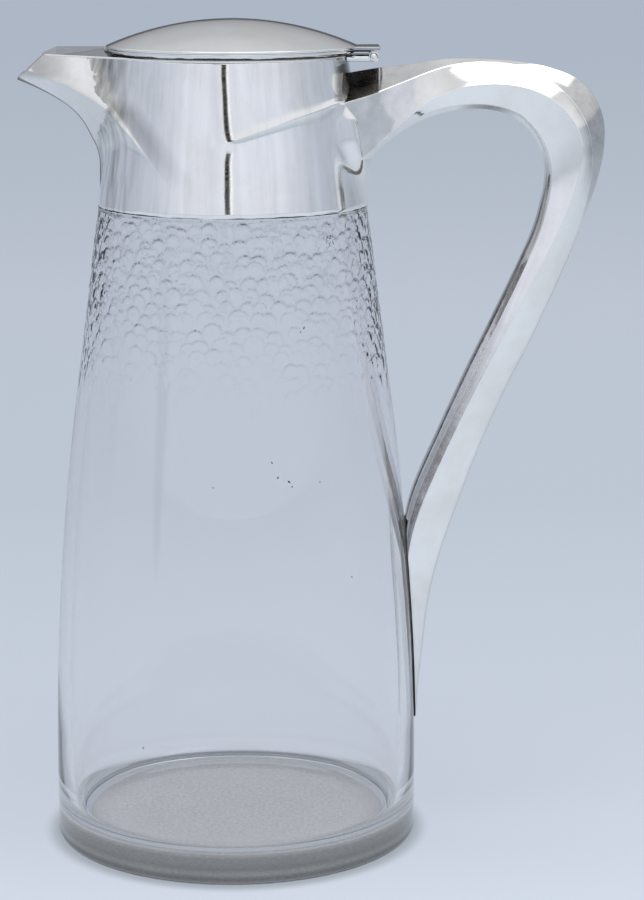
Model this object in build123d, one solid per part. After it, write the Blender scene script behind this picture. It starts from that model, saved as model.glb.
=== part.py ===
from build123d import *
from math import asin, cos, hypot, radians, sin, sqrt, tan
import os

# Claret jug: a glass vessel in a silver mount with a spout, a hinged lid and a hollow handle.
# Origin at the middle of the underside, +Z up, the spout towards -X, the handle towards +X.
# The side that faces -Y is called near, the other one far.

# ---- Driving dimensions (mm, degrees) ----------------------------------------------------------

# The vessel's outside line: upright above the foot, one large arc, then a cone up to the rim
body_radius = 55.6
upright_height = 20.0
flare_radius = 890.0
cone_angle = 7.4
rim_height = 240.0

# Glass
foot_edge = 2.0
base_thickness = 6.6
glass_wall = 3.8
inner_corner = 5.5
neck_height = 16.0

# Silver collar and what it holds
collar_height = 44.5
collar_wall = 0.9
cement_gap = 0.6
seat_ring_thickness = 0.8
rim_ring_width = 1.6
rim_ring_height = 1.8

# Spout: keel, chines and top edges are given outwards from the rim and downwards from it
spout_wall = 0.9
spout_least_half = 0.2
channel_chine_lift = 0.25
channel_keel_lift = 1.3
spout_top_reach = 22.3
spout_chine_reach = 31.5
chine_merge_drop = 24.0
mouth_lean = 46.0
mouth_setback = 0.4
throat_width = 26.0
throat_edge = 1.2
spout_cover_rise = 2.4
spout_cover_level_reach = 17.5
spout_cover_wall = 0.8
cover_riser = 0.9
cover_ledge_gap = 0.1
lid_to_cover_gap = 0.5

# Lid
lid_overhang = 2.9
lid_gap = 0.3
lid_bezel_height = 1.7
lid_bezel_taper = 0.4
lid_edge_height = 0.7
lid_dome_rise = 7.9
lid_wall = 0.9
lid_flange_depth = 3.0
lid_flange_wall = 0.9
lid_flange_clearance = 0.35

# Hinge: the pin lies along Y, behind the lid
pin_radius = 0.7
pin_offset = 4.6
pin_drop = 0.2
pin_seat_clearance = 0.01
pin_running_clearance = 0.03
hinge_width = 16.0
lid_knuckle_width = 6.0
knuckle_radius = 1.5
knuckle_side_clearance = 0.3
leaf_clearance = 0.28
leaf_thickness = 1.0
leaf_overrun = 2.1
knuckle_web_share = 0.8
stop_drop = 1.4

# Handle: sections with more reach or height than these are hollow
handle_wall = 1.2
hollow_least_reach = 6.0
hollow_least_drop = 9.6
tail_cement_gap = 0.5

# Extra length of shapes that only cut others
cut_margin = 5.0

# ---- Sizes that follow -------------------------------------------------------------------------

cone_slope = tan(radians(cone_angle))
cone_start = upright_height + flare_radius * sin(radians(cone_angle))
cone_start_radius = body_radius - flare_radius * (1 - cos(radians(cone_angle)))


def vessel_radius(z):
    """Outside radius of the jug at height z, along glass and collar."""
    if z <= upright_height:
        return body_radius
    if z < cone_start:
        return body_radius - flare_radius + sqrt(flare_radius**2 - (z - upright_height) ** 2)
    return cone_start_radius - cone_slope * (z - cone_start)


collar_bottom = rim_height - collar_height
neck_top = collar_bottom + neck_height
seat_top = neck_top + seat_ring_thickness
rim_radius = vessel_radius(rim_height)
rim_bore = rim_radius - collar_wall - rim_ring_width
neck_inset = collar_wall + cement_gap

lid_radius = rim_radius + lid_overhang
lid_bottom = rim_height + lid_gap
dome_bottom = lid_bottom + lid_bezel_height
lip_height = dome_bottom + lid_edge_height
flange_radius = rim_bore - lid_flange_clearance
flange_bore = flange_radius - lid_flange_wall
cover_inner_radius = lid_radius + lid_to_cover_gap

pin_x = lid_radius + pin_offset
pin_z = rim_height - pin_drop
leaf_bottom = pin_z + knuckle_radius + leaf_clearance
bracket_bottom = pin_z - stop_drop
outer_knuckle_width = (hinge_width - lid_knuckle_width) / 2 - knuckle_side_clearance

# ---- Shared shapes -----------------------------------------------------------------------------


def wall_line(low, high, inset=0.0):
    """Edges along the vessel's line from low to high, moved inwards by inset."""

    def point(z):
        return (vessel_radius(z) - inset, 0, z)

    levels = [low] + [z for z in (upright_height, cone_start) if low < z < high] + [high]
    edges = []
    for start, end in zip(levels, levels[1:]):
        if upright_height <= start and end <= cone_start:
            edges.append(ThreePointArc(point(start), point((start + end) / 2), point(end)))
        else:
            edges.append(Line(point(start), point(end)))
    return edges


def turned(edges):
    """Solid of revolution about Z from a closed row of edges in the XZ plane."""
    return Solid.revolve(Face(Wire(edges)), 360, Axis.Z)


def turned_polygon(*corners):
    """Solid of revolution from (radius, height) corners."""
    outline = Wire.make_polygon([(radius, 0, height) for radius, height in corners])
    return Solid.revolve(Face(outline), 360, Axis.Z)


def ring(inner, outer, low, high):
    """Plain ring between two radii and two heights."""
    return turned_polygon((inner, low), (outer, low), (outer, high), (inner, high))


def vessel_solid(low, high, outset=0.0):
    """The full volume inside the vessel's line between two heights."""
    edges = wall_line(low, high, -outset)
    top = Line(edges[-1] @ 1, (0, 0, high))
    axis = Line((0, 0, high), (0, 0, low))
    bottom = Line((0, 0, low), edges[0] @ 0)
    return turned(edges + [top, axis, bottom])


def block(x, y, z):
    """Box from (low, high) pairs along the three axes."""
    size = Box(x[1] - x[0], y[1] - y[0], z[1] - z[0])
    return Pos((x[0] + x[1]) / 2, (y[0] + y[1]) / 2, (z[0] + z[1]) / 2) * size


def rod(x, z, radius, y):
    """Cylinder along Y between the (low, high) pair y."""
    place = Pos(x, (y[0] + y[1]) / 2, z) * Rot(90, 0, 0)
    return place * Cylinder(radius, y[1] - y[0])


def eased(rows, steps):
    """Rows of numbers with steps - 1 smooth rows added in each interval (Catmull-Rom)."""
    padded = [rows[0]] + list(rows) + [rows[-1]]
    result = []
    for before, here, after, beyond in zip(padded, padded[1:], padded[2:], padded[3:]):
        for step in range(steps):
            t = step / steps
            weights = (
                (-t + 2 * t**2 - t**3) / 2,
                (2 - 5 * t**2 + 3 * t**3) / 2,
                (t + 4 * t**2 - 3 * t**3) / 2,
                (t**3 - t**2) / 2,
            )
            group = zip(before, here, after, beyond)
            result.append([sum(w * v for w, v in zip(weights, values)) for values in group])
    return result + [list(rows[-1])]


def skin(ribs):
    """Closed solid through a row of ribs, each a flat ring of as many corners."""
    faces = [Face(Wire.make_polygon(ribs[0])), Face(Wire.make_polygon(ribs[-1]))]
    for rib, following in zip(ribs, ribs[1:]):
        for i in range(len(rib)):
            j = (i + 1) % len(rib)
            faces.append(Face(Wire.make_polygon([rib[i], rib[j], following[j]])))
            faces.append(Face(Wire.make_polygon([rib[i], following[j], following[i]])))
    return Solid(Shell(faces)).fix()


def far_copy(shape):
    """Mirror image of a near part, on the +Y side."""
    return mirror(shape, about=Plane.XZ)


# ---- Glass, collar and what joins them ---------------------------------------------------------


def make_glass_body():
    """Blown vessel with a flat ground foot and a narrower neck inside the collar."""
    foot_arc_middle = foot_edge * (1 - sin(radians(45)))
    foot = [
        Line((0, 0, 0), (body_radius - foot_edge, 0, 0)),
        ThreePointArc(
            (body_radius - foot_edge, 0, 0),
            (body_radius - foot_arc_middle, 0, foot_arc_middle),
            (body_radius, 0, foot_edge),
        ),
    ]
    outside = wall_line(foot_edge, collar_bottom)
    neck = wall_line(collar_bottom, neck_top, neck_inset)
    inside = wall_line(base_thickness + inner_corner, neck_top, glass_wall)
    corner_end = inside[0] @ 0
    floor_radius = corner_end.X - inner_corner
    corner_shift = inner_corner * sin(radians(45))
    corner_middle = (
        floor_radius + corner_shift,
        0,
        base_thickness + inner_corner - corner_shift,
    )
    closing = [
        Line(outside[-1] @ 1, neck[0] @ 0),
        Line(neck[-1] @ 1, inside[-1] @ 1),
        ThreePointArc(corner_end, corner_middle, (floor_radius, 0, base_thickness)),
        Line((floor_radius, 0, base_thickness), (0, 0, base_thickness)),
        Line((0, 0, base_thickness), (0, 0, 0)),
    ]
    return turned(foot + outside + neck + inside + closing)


def conical_ring(low, high, outer_inset, inner_inset):
    """Ring that follows the collar's cone on both sides."""
    return turned_polygon(
        (vessel_radius(low) - inner_inset, low),
        (vessel_radius(low) - outer_inset, low),
        (vessel_radius(high) - outer_inset, high),
        (vessel_radius(high) - inner_inset, high),
    )


def make_collar_band():
    """Conical silver band, pierced behind the spout."""
    throat = block(
        (-body_radius, 0),
        (-throat_width / 2, throat_width / 2),
        (seat_top + throat_edge, rim_height - rim_ring_height - throat_edge),
    )
    return conical_ring(collar_bottom, rim_height, 0, collar_wall) - throat


def make_neck_cement():
    """Plaster ring that holds the collar on the glass neck."""
    return conical_ring(collar_bottom, neck_top, collar_wall, neck_inset)


def make_neck_seat_ring():
    """Flat silver ring, soldered in the collar, that covers the edge of the glass neck."""
    return conical_ring(neck_top, seat_top, collar_wall, glass_wall)


def make_rim_ring():
    """Square wire soldered inside the collar's top edge."""
    low = rim_height - rim_ring_height
    return turned_polygon(
        (rim_bore, low),
        (vessel_radius(low) - collar_wall, low),
        (rim_radius - collar_wall, rim_height),
        (rim_bore, rim_height),
    )


# ---- Spout -------------------------------------------------------------------------------------

# Ribs of the spout from where its sides leave the collar to beyond the lip:
# distance out from the rim, drop of the keel, drop of the chines
spout_ribs = [
    (-4.5, 44.0, 20.7),
    (4.0, 42.0, 12.9),
    (5.0, 33.0, 12.4),
    (6.0, 28.5, 11.9),
    (7.9, 23.8, 11.0),
    (10.2, 19.6, 9.9),
    (13.5, 16.2, 8.4),
    (18.0, 13.0, 6.6),
    (23.5, 9.8, 5.0),
    (30.8, 7.0, 3.4),
]
root_chine_drop = 31.0

top_apex = rim_radius + spout_top_reach
top_spread = tan(asin(rim_radius / top_apex))
top_root = rim_radius**2 / top_apex
chine_apex = rim_radius + spout_chine_reach
chine_spread = tan(asin(vessel_radius(rim_height - chine_merge_drop) / chine_apex))


def top_half_width(x):
    """Half the distance between the spout's top edges, at distance x in front of the axis."""
    return max((top_apex - x) * top_spread, spout_least_half)


def chine_half_width(x):
    """Half the distance between the spout's chines, at distance x in front of the axis."""
    return max((chine_apex - x) * chine_spread, 1.5 * spout_least_half)


def spout_rib(out, keel_drop, chine_drop, inset=0.0):
    """Near half of a section; inset makes the channel, open above and past the middle."""
    x = rim_radius + out
    top_width = max(top_half_width(x) - inset, spout_least_half / 2)
    chine_width = max(chine_half_width(x) - inset, 0.75 * spout_least_half)
    top = rim_height + inset
    chine = rim_height - chine_drop + inset * channel_chine_lift
    keel = rim_height - keel_drop + inset * channel_keel_lift
    return [(-x, inset, keel), (-x, -chine_width, chine), (-x, -top_width, top), (-x, inset, top)]


def mouth_space():
    """Everything in front of the slanted mouth, which leans forwards from its upper corner."""
    reach = 2 * spout_chine_reach
    corner = Pos(-top_apex + mouth_setback, 0, rim_height) * Rot(0, mouth_lean, 0)
    return corner * Pos(-reach / 2, 0, 0) * Box(reach, reach * 2, reach * 3)


def make_spout_side():
    """Near side of the spout outside the collar: lower facet, chine and side facet."""
    root = (top_root - rim_radius, spout_ribs[0][1], root_chine_drop)
    ribs = eased([root] + spout_ribs, 3)
    outside = skin([spout_rib(*rib) for rib in ribs])
    channel = skin([spout_rib(*rib, spout_wall) for rib in ribs])
    shell = outside - channel - vessel_solid(collar_bottom - cut_margin, rim_height + cut_margin)
    return shell - mouth_space()


def roof_rib(x, rise):
    """Triangle of the spout's cover at distance x in front of the axis."""
    width = top_half_width(x)
    return [(-x, -width, rim_height), (-x, width, rim_height), (-x, 0, rim_height + rise)]


def make_spout_cover():
    """Ridged sheet over the spout, level with the lid's lip, with a ledge under the lid."""
    level_end = rim_radius + spout_cover_level_reach
    tip = top_apex - mouth_setback
    roof = skin(
        [
            roof_rib(rim_radius, spout_cover_rise),
            roof_rib(level_end, spout_cover_rise),
            roof_rib(tip, spout_cover_wall / 2),
        ]
    )
    lid_space = ring(0.0, cover_inner_radius, rim_height - cut_margin, lip_height + cut_margin)
    riser_outer = cover_inner_radius + cover_riser
    riser_ring = ring(cover_inner_radius, riser_outer, rim_height, lip_height + cut_margin)
    sheet = roof - Pos(0, 0, -spout_cover_wall) * roof - lid_space
    riser = roof & riser_ring
    inner_apex = top_apex - spout_wall / sin(asin(rim_radius / top_apex))
    side = (inner_apex - top_root) * top_spread
    wedge = Solid.extrude(
        Face(Wire.make_polygon([(-top_root, -side, 0), (-top_root, side, 0), (-inner_apex, 0, 0)])),
        Vector(0, 0, spout_cover_wall),
    )
    ledge_inner = rim_radius + cover_ledge_gap
    ledge_ring = ring(ledge_inner, riser_outer, rim_height - spout_cover_wall, rim_height)
    ledge = Pos(0, 0, rim_height - spout_cover_wall) * wedge & ledge_ring
    return sheet + riser + ledge


# ---- Handle ------------------------------------------------------------------------------------

# Stations from the collar over the loop and down to the tail's point. Each gives the crest
# (reach from the vessel's line, drop below the rim), the inner face (the same two), then the
# upper chine and the side ridge (share of the way from crest to inner face, half width),
# and the inner face's half width.
handle_stations = [
    (-10.4, 7.0, -8.8, 41.0, 0.22, 21.0, 0.84, 18.0, 9.0),
    (3.1, 4.7, 0.9, 32.5, 0.25, 14.8, 0.88, 14.5, 6.0),
    (9.6, 3.7, 5.7, 27.6, 0.26, 11.3, 0.90, 11.6, 5.0),
    (16.7, 2.9, 12.9, 22.7, 0.23, 8.2, 0.84, 9.6, 4.4),
    (23.8, 1.8, 19.9, 19.1, 0.18, 5.4, 0.71, 8.6, 4.2),
    (31.3, 1.1, 27.1, 16.8, 0.11, 3.3, 0.60, 7.8, 4.2),
    (40.4, 1.0, 34.3, 15.9, 0.07, 2.4, 0.52, 7.5, 4.2),
    (49.8, 1.9, 40.9, 16.3, 0.10, 2.4, 0.46, 7.5, 4.2),
    (59.8, 3.8, 47.3, 18.6, 0.22, 3.0, 0.45, 7.5, 4.2),
    (68.9, 8.2, 51.7, 23.2, 0.29, 4.2, 0.45, 7.5, 4.2),
    (73.5, 17.0, 53.7, 27.4, 0.28, 5.0, 0.42, 7.5, 4.2),
    (73.3, 26.4, 54.5, 31.8, 0.24, 4.8, 0.40, 7.5, 4.2),
    (70.3, 36.5, 54.3, 36.5, 0.17, 3.8, 0.41, 7.5, 4.2),
    (66.1, 45.8, 52.4, 43.2, 0.10, 2.7, 0.44, 7.5, 4.2),
    (59.0, 60.1, 47.4, 55.0, 0.08, 2.0, 0.53, 7.5, 4.2),
    (46.3, 82.6, 34.4, 77.2, 0.08, 2.0, 0.63, 7.5, 4.2),
    (35.7, 99.8, 24.3, 93.8, 0.08, 2.0, 0.67, 7.5, 4.2),
    (25.4, 118.1, 13.2, 113.0, 0.08, 2.0, 0.71, 7.5, 4.2),
    (15.9, 138.3, 2.5, 133.5, 0.08, 1.9, 0.75, 7.3, 4.4),
    (9.8, 153.0, -1.3, 150.0, 0.09, 1.8, 0.85, 6.8, 4.8),
    (5.7, 166.9, -1.6, 165.0, 0.10, 1.5, 0.85, 5.8, 4.2),
    (3.2, 182.0, -1.5, 181.0, 0.12, 1.2, 0.85, 4.4, 3.2),
    (1.4, 195.0, -1.2, 194.5, 0.15, 0.8, 0.80, 2.8, 2.0),
    (0.6, 204.5, -0.9, 204.4, 0.20, 0.4, 0.80, 1.2, 0.8),
]


def share_point(start, end, share):
    """Point part of the way from start to end."""
    return tuple(a + (b - a) * share for a, b in zip(start, end))


def edge_distance(point, start, end):
    """Distance of a point from the line through start and end, in a flat section."""
    along = (end[0] - start[0], end[1] - start[1])
    cross = along[0] * (point[1] - start[1]) - along[1] * (point[0] - start[0])
    return abs(cross) / hypot(*along)


def handle_rib(row, hollow=False):
    """Near half of one handle section, or the whole ring of the hollow inside it."""
    crest_reach, crest_drop, inner_reach, inner_drop = row[:4]
    chine_share, chine_width, ridge_share, ridge_width, inner_width = row[4:]
    crest_z = rim_height - crest_drop
    inner_z = rim_height - inner_drop
    crest = (vessel_radius(crest_z) + crest_reach, crest_z)
    inner = (vessel_radius(inner_z) + inner_reach, inner_z)
    depth = hypot(inner[0] - crest[0], inner[1] - crest[1])
    corners = [
        (0, 0),
        (chine_share * depth, chine_width),
        (ridge_share * depth, ridge_width),
        (depth, inner_width),
    ]
    if hollow:
        middle = (depth * (ridge_share + 0.5) / 2, 0)
        sides = list(zip(corners, corners[1:]))
        room = min([edge_distance(middle, *side) for side in sides] + [depth - middle[0]])
        scale = 1 - handle_wall / room
        corners = [(middle[0] + (u - middle[0]) * scale, v * scale) for u, v in corners]

    def place(u, v):
        x, z = share_point(crest, inner, u / depth)
        return (x, v, z)

    near = [place(u, -v) for u, v in corners]
    if hollow:
        return near + [place(u, v) for u, v in corners[:0:-1]]
    return near + [place(depth, 0)]


def has_hollow(row):
    """True where the handle is outside the collar and thick enough to be hollow."""
    if row[3] - row[1] > hollow_least_drop:
        return True
    return row[0] > 0 and row[0] - row[2] > hollow_least_reach


def handle_form():
    """Outer form of the handle's near half, before it is fitted to collar and glass."""
    return skin([handle_rib(row) for row in eased(handle_stations, 2)])


def make_handle_half():
    """Near half of the hollow handle, fitted to the collar and to the cemented glass."""
    rows = [row for row in eased(handle_stations, 2) if has_hollow(row)]
    hollow = skin([handle_rib(row, hollow=True) for row in rows])
    shell = handle_form() - hollow
    shell = shell - vessel_solid(collar_bottom, rim_height)
    return shell - vessel_solid(0, collar_bottom, tail_cement_gap)


def make_tail_cement():
    """Thin bed of cement between the handle's tail and the glass."""
    bed = vessel_solid(0, collar_bottom, tail_cement_gap) - vessel_solid(0, collar_bottom)
    form = handle_form()
    return (form + far_copy(form)) & bed


# ---- Lid and hinge -----------------------------------------------------------------------------


def make_lid_dome():
    """Shallow dome with a sharp lip and an upright edge."""
    apex = lip_height + lid_dome_rise
    radius = (lid_radius**2 + lid_dome_rise**2) / (2 * lid_dome_rise)
    centre = apex - radius

    def on_sphere(sphere, x):
        return (x, 0, centre + sqrt(sphere**2 - x**2))

    inner = radius - lid_wall
    inner_end = sqrt(inner**2 - (dome_bottom - centre) ** 2)
    return turned(
        [
            ThreePointArc((0, 0, apex), on_sphere(radius, lid_radius / 2), (lid_radius, 0, lip_height)),
            Line((lid_radius, 0, lip_height), (lid_radius, 0, dome_bottom)),
            Line((lid_radius, 0, dome_bottom), (inner_end, 0, dome_bottom)),
            ThreePointArc(
                (inner_end, 0, dome_bottom), on_sphere(inner, inner_end / 2), (0, 0, apex - lid_wall)
            ),
            Line((0, 0, apex - lid_wall), (0, 0, apex)),
        ]
    )


def make_lid_bezel():
    """Flat ring under the dome's edge, which closes down on the rim."""
    return turned_polygon(
        (flange_bore, lid_bottom),
        (lid_radius - lid_bezel_taper, lid_bottom),
        (lid_radius, dome_bottom),
        (flange_bore, dome_bottom),
    )


def make_lid_flange():
    """Upright ring that centres the lid in the rim."""
    return ring(flange_bore, flange_radius, lid_bottom - lid_flange_depth, lid_bottom)


def make_lid_leaf():
    """Flat hinge leaf from the lid's edge to just behind the pin."""
    leaf = block(
        (0, pin_x + leaf_overrun),
        (-hinge_width / 2, hinge_width / 2),
        (leaf_bottom, leaf_bottom + leaf_thickness),
    )
    return leaf - ring(0.0, lid_radius, leaf_bottom - cut_margin, leaf_bottom + cut_margin)


def make_lid_knuckle():
    """Middle knuckle under the leaf, which turns on the pin."""
    sides = (-lid_knuckle_width / 2, lid_knuckle_width / 2)
    web_half = knuckle_radius * knuckle_web_share
    web = block((pin_x - web_half, pin_x + web_half), sides, (pin_z, leaf_bottom))
    barrel = rod(pin_x, pin_z, knuckle_radius, sides)
    return barrel + web - rod(pin_x, pin_z, pin_radius + pin_running_clearance, sides)


def knuckle_sides(side):
    """(low, high) along Y of the outer knuckle on one side, -1 or 1."""
    outer = side * hinge_width / 2
    inner = side * (hinge_width / 2 - outer_knuckle_width)
    return (min(outer, inner), max(outer, inner))


def make_bracket_knuckles():
    """The two outer knuckles, squared below so that they stop the open lid."""
    pair = []
    for side in (-1, 1):
        sides = knuckle_sides(side)
        square = block((pin_x - knuckle_radius, pin_x + knuckle_radius), sides, (bracket_bottom, pin_z))
        barrel = rod(pin_x, pin_z, knuckle_radius, sides)
        bore = rod(pin_x, pin_z, pin_radius + pin_seat_clearance, sides)
        pair.append((square + barrel - bore).solid())
    return Compound(children=pair)


def make_hinge_bracket():
    """Flat arm from the collar to the outer knuckles."""
    arm = block(
        (0, pin_x - knuckle_radius),
        (-hinge_width / 2, hinge_width / 2),
        (bracket_bottom, rim_height),
    )
    slot_side = lid_knuckle_width / 2 + knuckle_side_clearance
    slot = block(
        (pin_x - knuckle_radius - knuckle_side_clearance * 2, pin_x),
        (-slot_side, slot_side),
        (bracket_bottom - cut_margin, rim_height + cut_margin),
    )
    return arm - slot - vessel_solid(collar_bottom, rim_height + cut_margin)


def make_hinge_pin():
    """Pin through all three knuckles."""
    return rod(pin_x, pin_z, pin_radius, (-hinge_width / 2, hinge_width / 2))


# ---- Assembly ----------------------------------------------------------------------------------

spout_side = make_spout_side()
handle_half = make_handle_half()

nodes = {
    "glass_body": make_glass_body(),
    "neck_cement": make_neck_cement(),
    "neck_seat_ring": make_neck_seat_ring(),
    "collar_band": make_collar_band(),
    "rim_ring": make_rim_ring(),
    "spout_near_side": spout_side,
    "spout_far_side": far_copy(spout_side),
    "spout_cover": make_spout_cover(),
    "handle_near_half": handle_half,
    "handle_far_half": far_copy(handle_half),
    "tail_cement": make_tail_cement(),
    "hinge_bracket": make_hinge_bracket(),
    "bracket_knuckles": make_bracket_knuckles(),
    "hinge_pin": make_hinge_pin(),
    "lid_dome": make_lid_dome(),
    "lid_bezel": make_lid_bezel(),
    "lid_flange": make_lid_flange(),
    "lid_leaf": make_lid_leaf(),
    "lid_knuckle": make_lid_knuckle(),
}

os.makedirs("parts", exist_ok=True)
for name, shape in nodes.items():
    export_step(shape, f"parts/{name}.step")
    print(f"{name}: {len(shape.solids())} solid, {shape.volume:.0f} mm3")
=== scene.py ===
# %% [markdown]
# # A silver-mounted claret jug, piece by piece
#
# The jug is a tall glass vessel with a silver collar, a beaked spout, a hinged lid and a faceted
# silver handle that is soldered to the collar and cemented to the glass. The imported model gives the
# sizes and the moving bodies, and this script dresses it: each shiny piece is rebuilt as a smooth
# mesh, because silver and glass show every flat triangle of a plain model.

# %% Load the fixed frame
import math
from functools import partial

import bmesh
import bpy
import numpy as np
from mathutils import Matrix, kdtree


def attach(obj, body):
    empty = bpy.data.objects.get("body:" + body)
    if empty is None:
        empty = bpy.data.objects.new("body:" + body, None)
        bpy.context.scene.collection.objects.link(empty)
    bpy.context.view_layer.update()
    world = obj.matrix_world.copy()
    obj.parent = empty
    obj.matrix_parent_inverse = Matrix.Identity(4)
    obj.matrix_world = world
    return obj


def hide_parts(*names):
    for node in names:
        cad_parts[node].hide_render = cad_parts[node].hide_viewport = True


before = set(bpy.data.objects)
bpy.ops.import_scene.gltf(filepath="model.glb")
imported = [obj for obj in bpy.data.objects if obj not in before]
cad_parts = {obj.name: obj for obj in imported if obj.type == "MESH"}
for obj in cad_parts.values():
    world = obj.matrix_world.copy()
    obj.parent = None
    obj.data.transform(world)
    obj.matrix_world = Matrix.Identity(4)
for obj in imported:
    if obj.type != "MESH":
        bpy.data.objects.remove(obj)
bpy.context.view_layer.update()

# %% [markdown]
# ## Measures that many pieces share
#
# The outside line of glass and collar is one profile: upright above the foot, one large arc, then a
# straight cone to the rim. Every piece that touches the jug asks this one function for the radius,
# so nothing has to be fitted by eye. Heights and radii are in millimetres here, and the helpers
# turn them into metres when a mesh is made.

# %% The jug's outside line
MM = 0.001
body_radius, upright_height, flare_radius, cone_angle = 55.6, 20.0, 890.0, math.radians(7.4)
collar_bottom, rim_height, neck_top = 195.5, 240.0, 211.5
cone_slope = math.tan(cone_angle)
cone_start = upright_height + flare_radius * math.sin(cone_angle)
cone_start_radius = body_radius - flare_radius * (1 - math.cos(cone_angle))


def jug_radius(z):
    """Outside radius of glass and collar at height z, for one height or an array of them."""
    z = np.asarray(z, float)
    rise = np.clip(z, upright_height, cone_start) - upright_height
    arc = body_radius - flare_radius + np.sqrt(flare_radius**2 - rise**2)
    return np.where(z <= cone_start, arc, cone_start_radius - cone_slope * (z - cone_start))


def radius_at(z):
    """The same radius at one height, as a plain number."""
    return float(jug_radius(z))


rim_radius = radius_at(rim_height)
print(f"radius {rim_radius:.2f} mm at the rim, {radius_at(collar_bottom):.2f} mm at the collar's lower edge")

# %% [markdown]
# ## Making meshes
#
# Two helpers make almost every piece. One joins a grid of points into four-sided faces, and the
# other turns a closed outline about the jug's axis. Corners of an outline are eased first: a
# polished corner always has a small radius, and that radius is what catches the light. The extra
# points beside each corner keep the flat parts flat when the shading is smooth.

# %% From points to a closed mesh
def make_piece(name, points, faces, merge=0.002):
    """Mesh object from points in millimetres, with doubles merged and faces turned outwards."""
    mesh = bpy.data.meshes.new(name)
    mesh.from_pydata([tuple(p) for p in np.asarray(points, float) * MM], [], faces)
    work = bmesh.new()
    work.from_mesh(mesh)
    bmesh.ops.remove_doubles(work, verts=work.verts, dist=merge * MM)
    bmesh.ops.dissolve_degenerate(work, edges=work.edges, dist=merge * MM / 2)
    bmesh.ops.recalc_face_normals(work, faces=work.faces)
    work.to_mesh(mesh)
    work.free()
    mesh.shade_smooth()
    piece = bpy.data.objects.new(name, mesh)
    bpy.context.scene.collection.objects.link(piece)
    print(f"{name}: {len(mesh.vertices)} points, {len(mesh.polygons)} faces")
    return piece


def grid_faces(rows, columns, start=0, closed=False):
    """Four-sided faces of a grid of points that is stored row after row."""
    faces = []
    for r in range(rows - 1):
        for c in range(columns if closed else columns - 1):
            d = (c + 1) % columns
            faces.append((start + r * columns + c, start + r * columns + d,
                          start + (r + 1) * columns + d, start + (r + 1) * columns + c))
    return faces


# %% Eased corners and turned pieces
def eased_outline(corners, radius=0.25, closed=True):
    """The outline with each corner rounded, and support points beside it."""
    corners = [np.array(c, float) for c in corners]
    result = []
    count = len(corners)
    for i, corner in enumerate(corners):
        if not closed and i in (0, count - 1):
            result.append(corner)
            continue
        before, after = corners[i - 1] - corner, corners[(i + 1) % count] - corner
        room = min(np.linalg.norm(before), np.linalg.norm(after))
        r = min(radius, room * 0.22)
        a, b = before / np.linalg.norm(before), after / np.linalg.norm(after)
        middle = corner + (a + b) * r * 0.29
        result += [corner + a * r * 2, corner + a * r, middle, corner + b * r, corner + b * r * 2]
    return result


def turned_piece(name, outline, columns=192, coarse=()):
    """Closed ring from a closed outline of (radius, height) points, or a dome if it meets the axis.

    Rows listed in coarse get half the columns: every second point falls on its neighbour."""
    turns = np.linspace(0, 2 * np.pi, columns, endpoint=False)
    halved = turns[np.arange(columns) // 2 * 2]
    outline = np.array(outline, float)
    points = np.array([[r * math.cos(t), r * math.sin(t), z]
                       for row, (r, z) in enumerate(outline) for t in (halved if row in coarse else turns)])
    faces = grid_faces(len(outline), columns, closed=True)
    last = (len(outline) - 1) * columns
    for c in range(columns):
        d = (c + 1) % columns
        faces.append((last + c, last + d, d, c))
    return make_piece(name, points, faces)


def carry(piece, body, material, *nodes, slot):
    """Give a finished piece its material, its body and the nodes that it stands for."""
    if material.name not in piece.data.materials:
        piece.data.materials.append(material)
    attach(piece, body)
    if nodes:
        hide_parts(*nodes)
    return piece

# %% [markdown]
# ## Finishes
#
# Old polished silver is a mirror with a history: thousands of hairline scratches that blur it a
# little, slow waves from the hammer that bend every reflection, and a trace of tarnish in patches.
# Each of these is a noise pattern at its own size, read from Object coordinates, so that it stays
# put on the metal. Small helpers keep the node trees readable.

# %% Helpers for node trees
def add_node(tree, kind, settings=None, **inputs):
    """Node with its settings; inputs are set by name, or as i0, i1 and so on, to a value or a socket."""
    node = tree.nodes.new(kind)
    for key, value in (settings or {}).items():
        setattr(node, key, value)
    for key, value in inputs.items():
        numbered = key[0] == "i" and key[1:].isdigit()
        socket = node.inputs[int(key[1:]) if numbered else key.replace("_", " ")]
        if isinstance(value, bpy.types.NodeSocket):
            tree.links.new(value, socket)
        else:
            socket.default_value = value
    return node


def math_node(tree, operation, a, b=None, c=None):
    """Output of a Math node; numbers and sockets may be mixed."""
    given = {f"i{index}": value for index, value in enumerate((a, b, c)) if value is not None}
    return add_node(tree, "ShaderNodeMath", {"operation": operation}, **given).outputs[0]


def spread(tree, value, low, high, to=(0.0, 1.0), smooth=False):
    """Map Range: low to high in value becomes the first to the second number of to."""
    settings = {"interpolation_type": "SMOOTHSTEP" if smooth else "LINEAR"}
    return add_node(tree, "ShaderNodeMapRange", settings, Value=value, From_Min=low, From_Max=high,
                    To_Min=to[0], To_Max=to[1]).outputs[0]


def colour_ramp(tree, value, stops):
    """Colours between (position, colour) stops; one number in place of a colour is a grey."""
    ramp = add_node(tree, "ShaderNodeValToRGB", Fac=value)
    while len(ramp.color_ramp.elements) < len(stops):
        ramp.color_ramp.elements.new(0.5)
    for element, (position, colour) in zip(ramp.color_ramp.elements, stops):
        rgb = colour if isinstance(colour, tuple) else (colour,) * 3
        element.position, element.color = position, (*rgb, 1)
    return ramp.outputs[0]


def along(tree, coordinate, *stops):
    """Grey that runs through (position in metres, value) stops along a coordinate."""
    low, high = stops[0][0], stops[-1][0]
    shares = [((position - low) / (high - low), value) for position, value in stops]
    return colour_ramp(tree, spread(tree, coordinate, low, high), shares)


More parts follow.
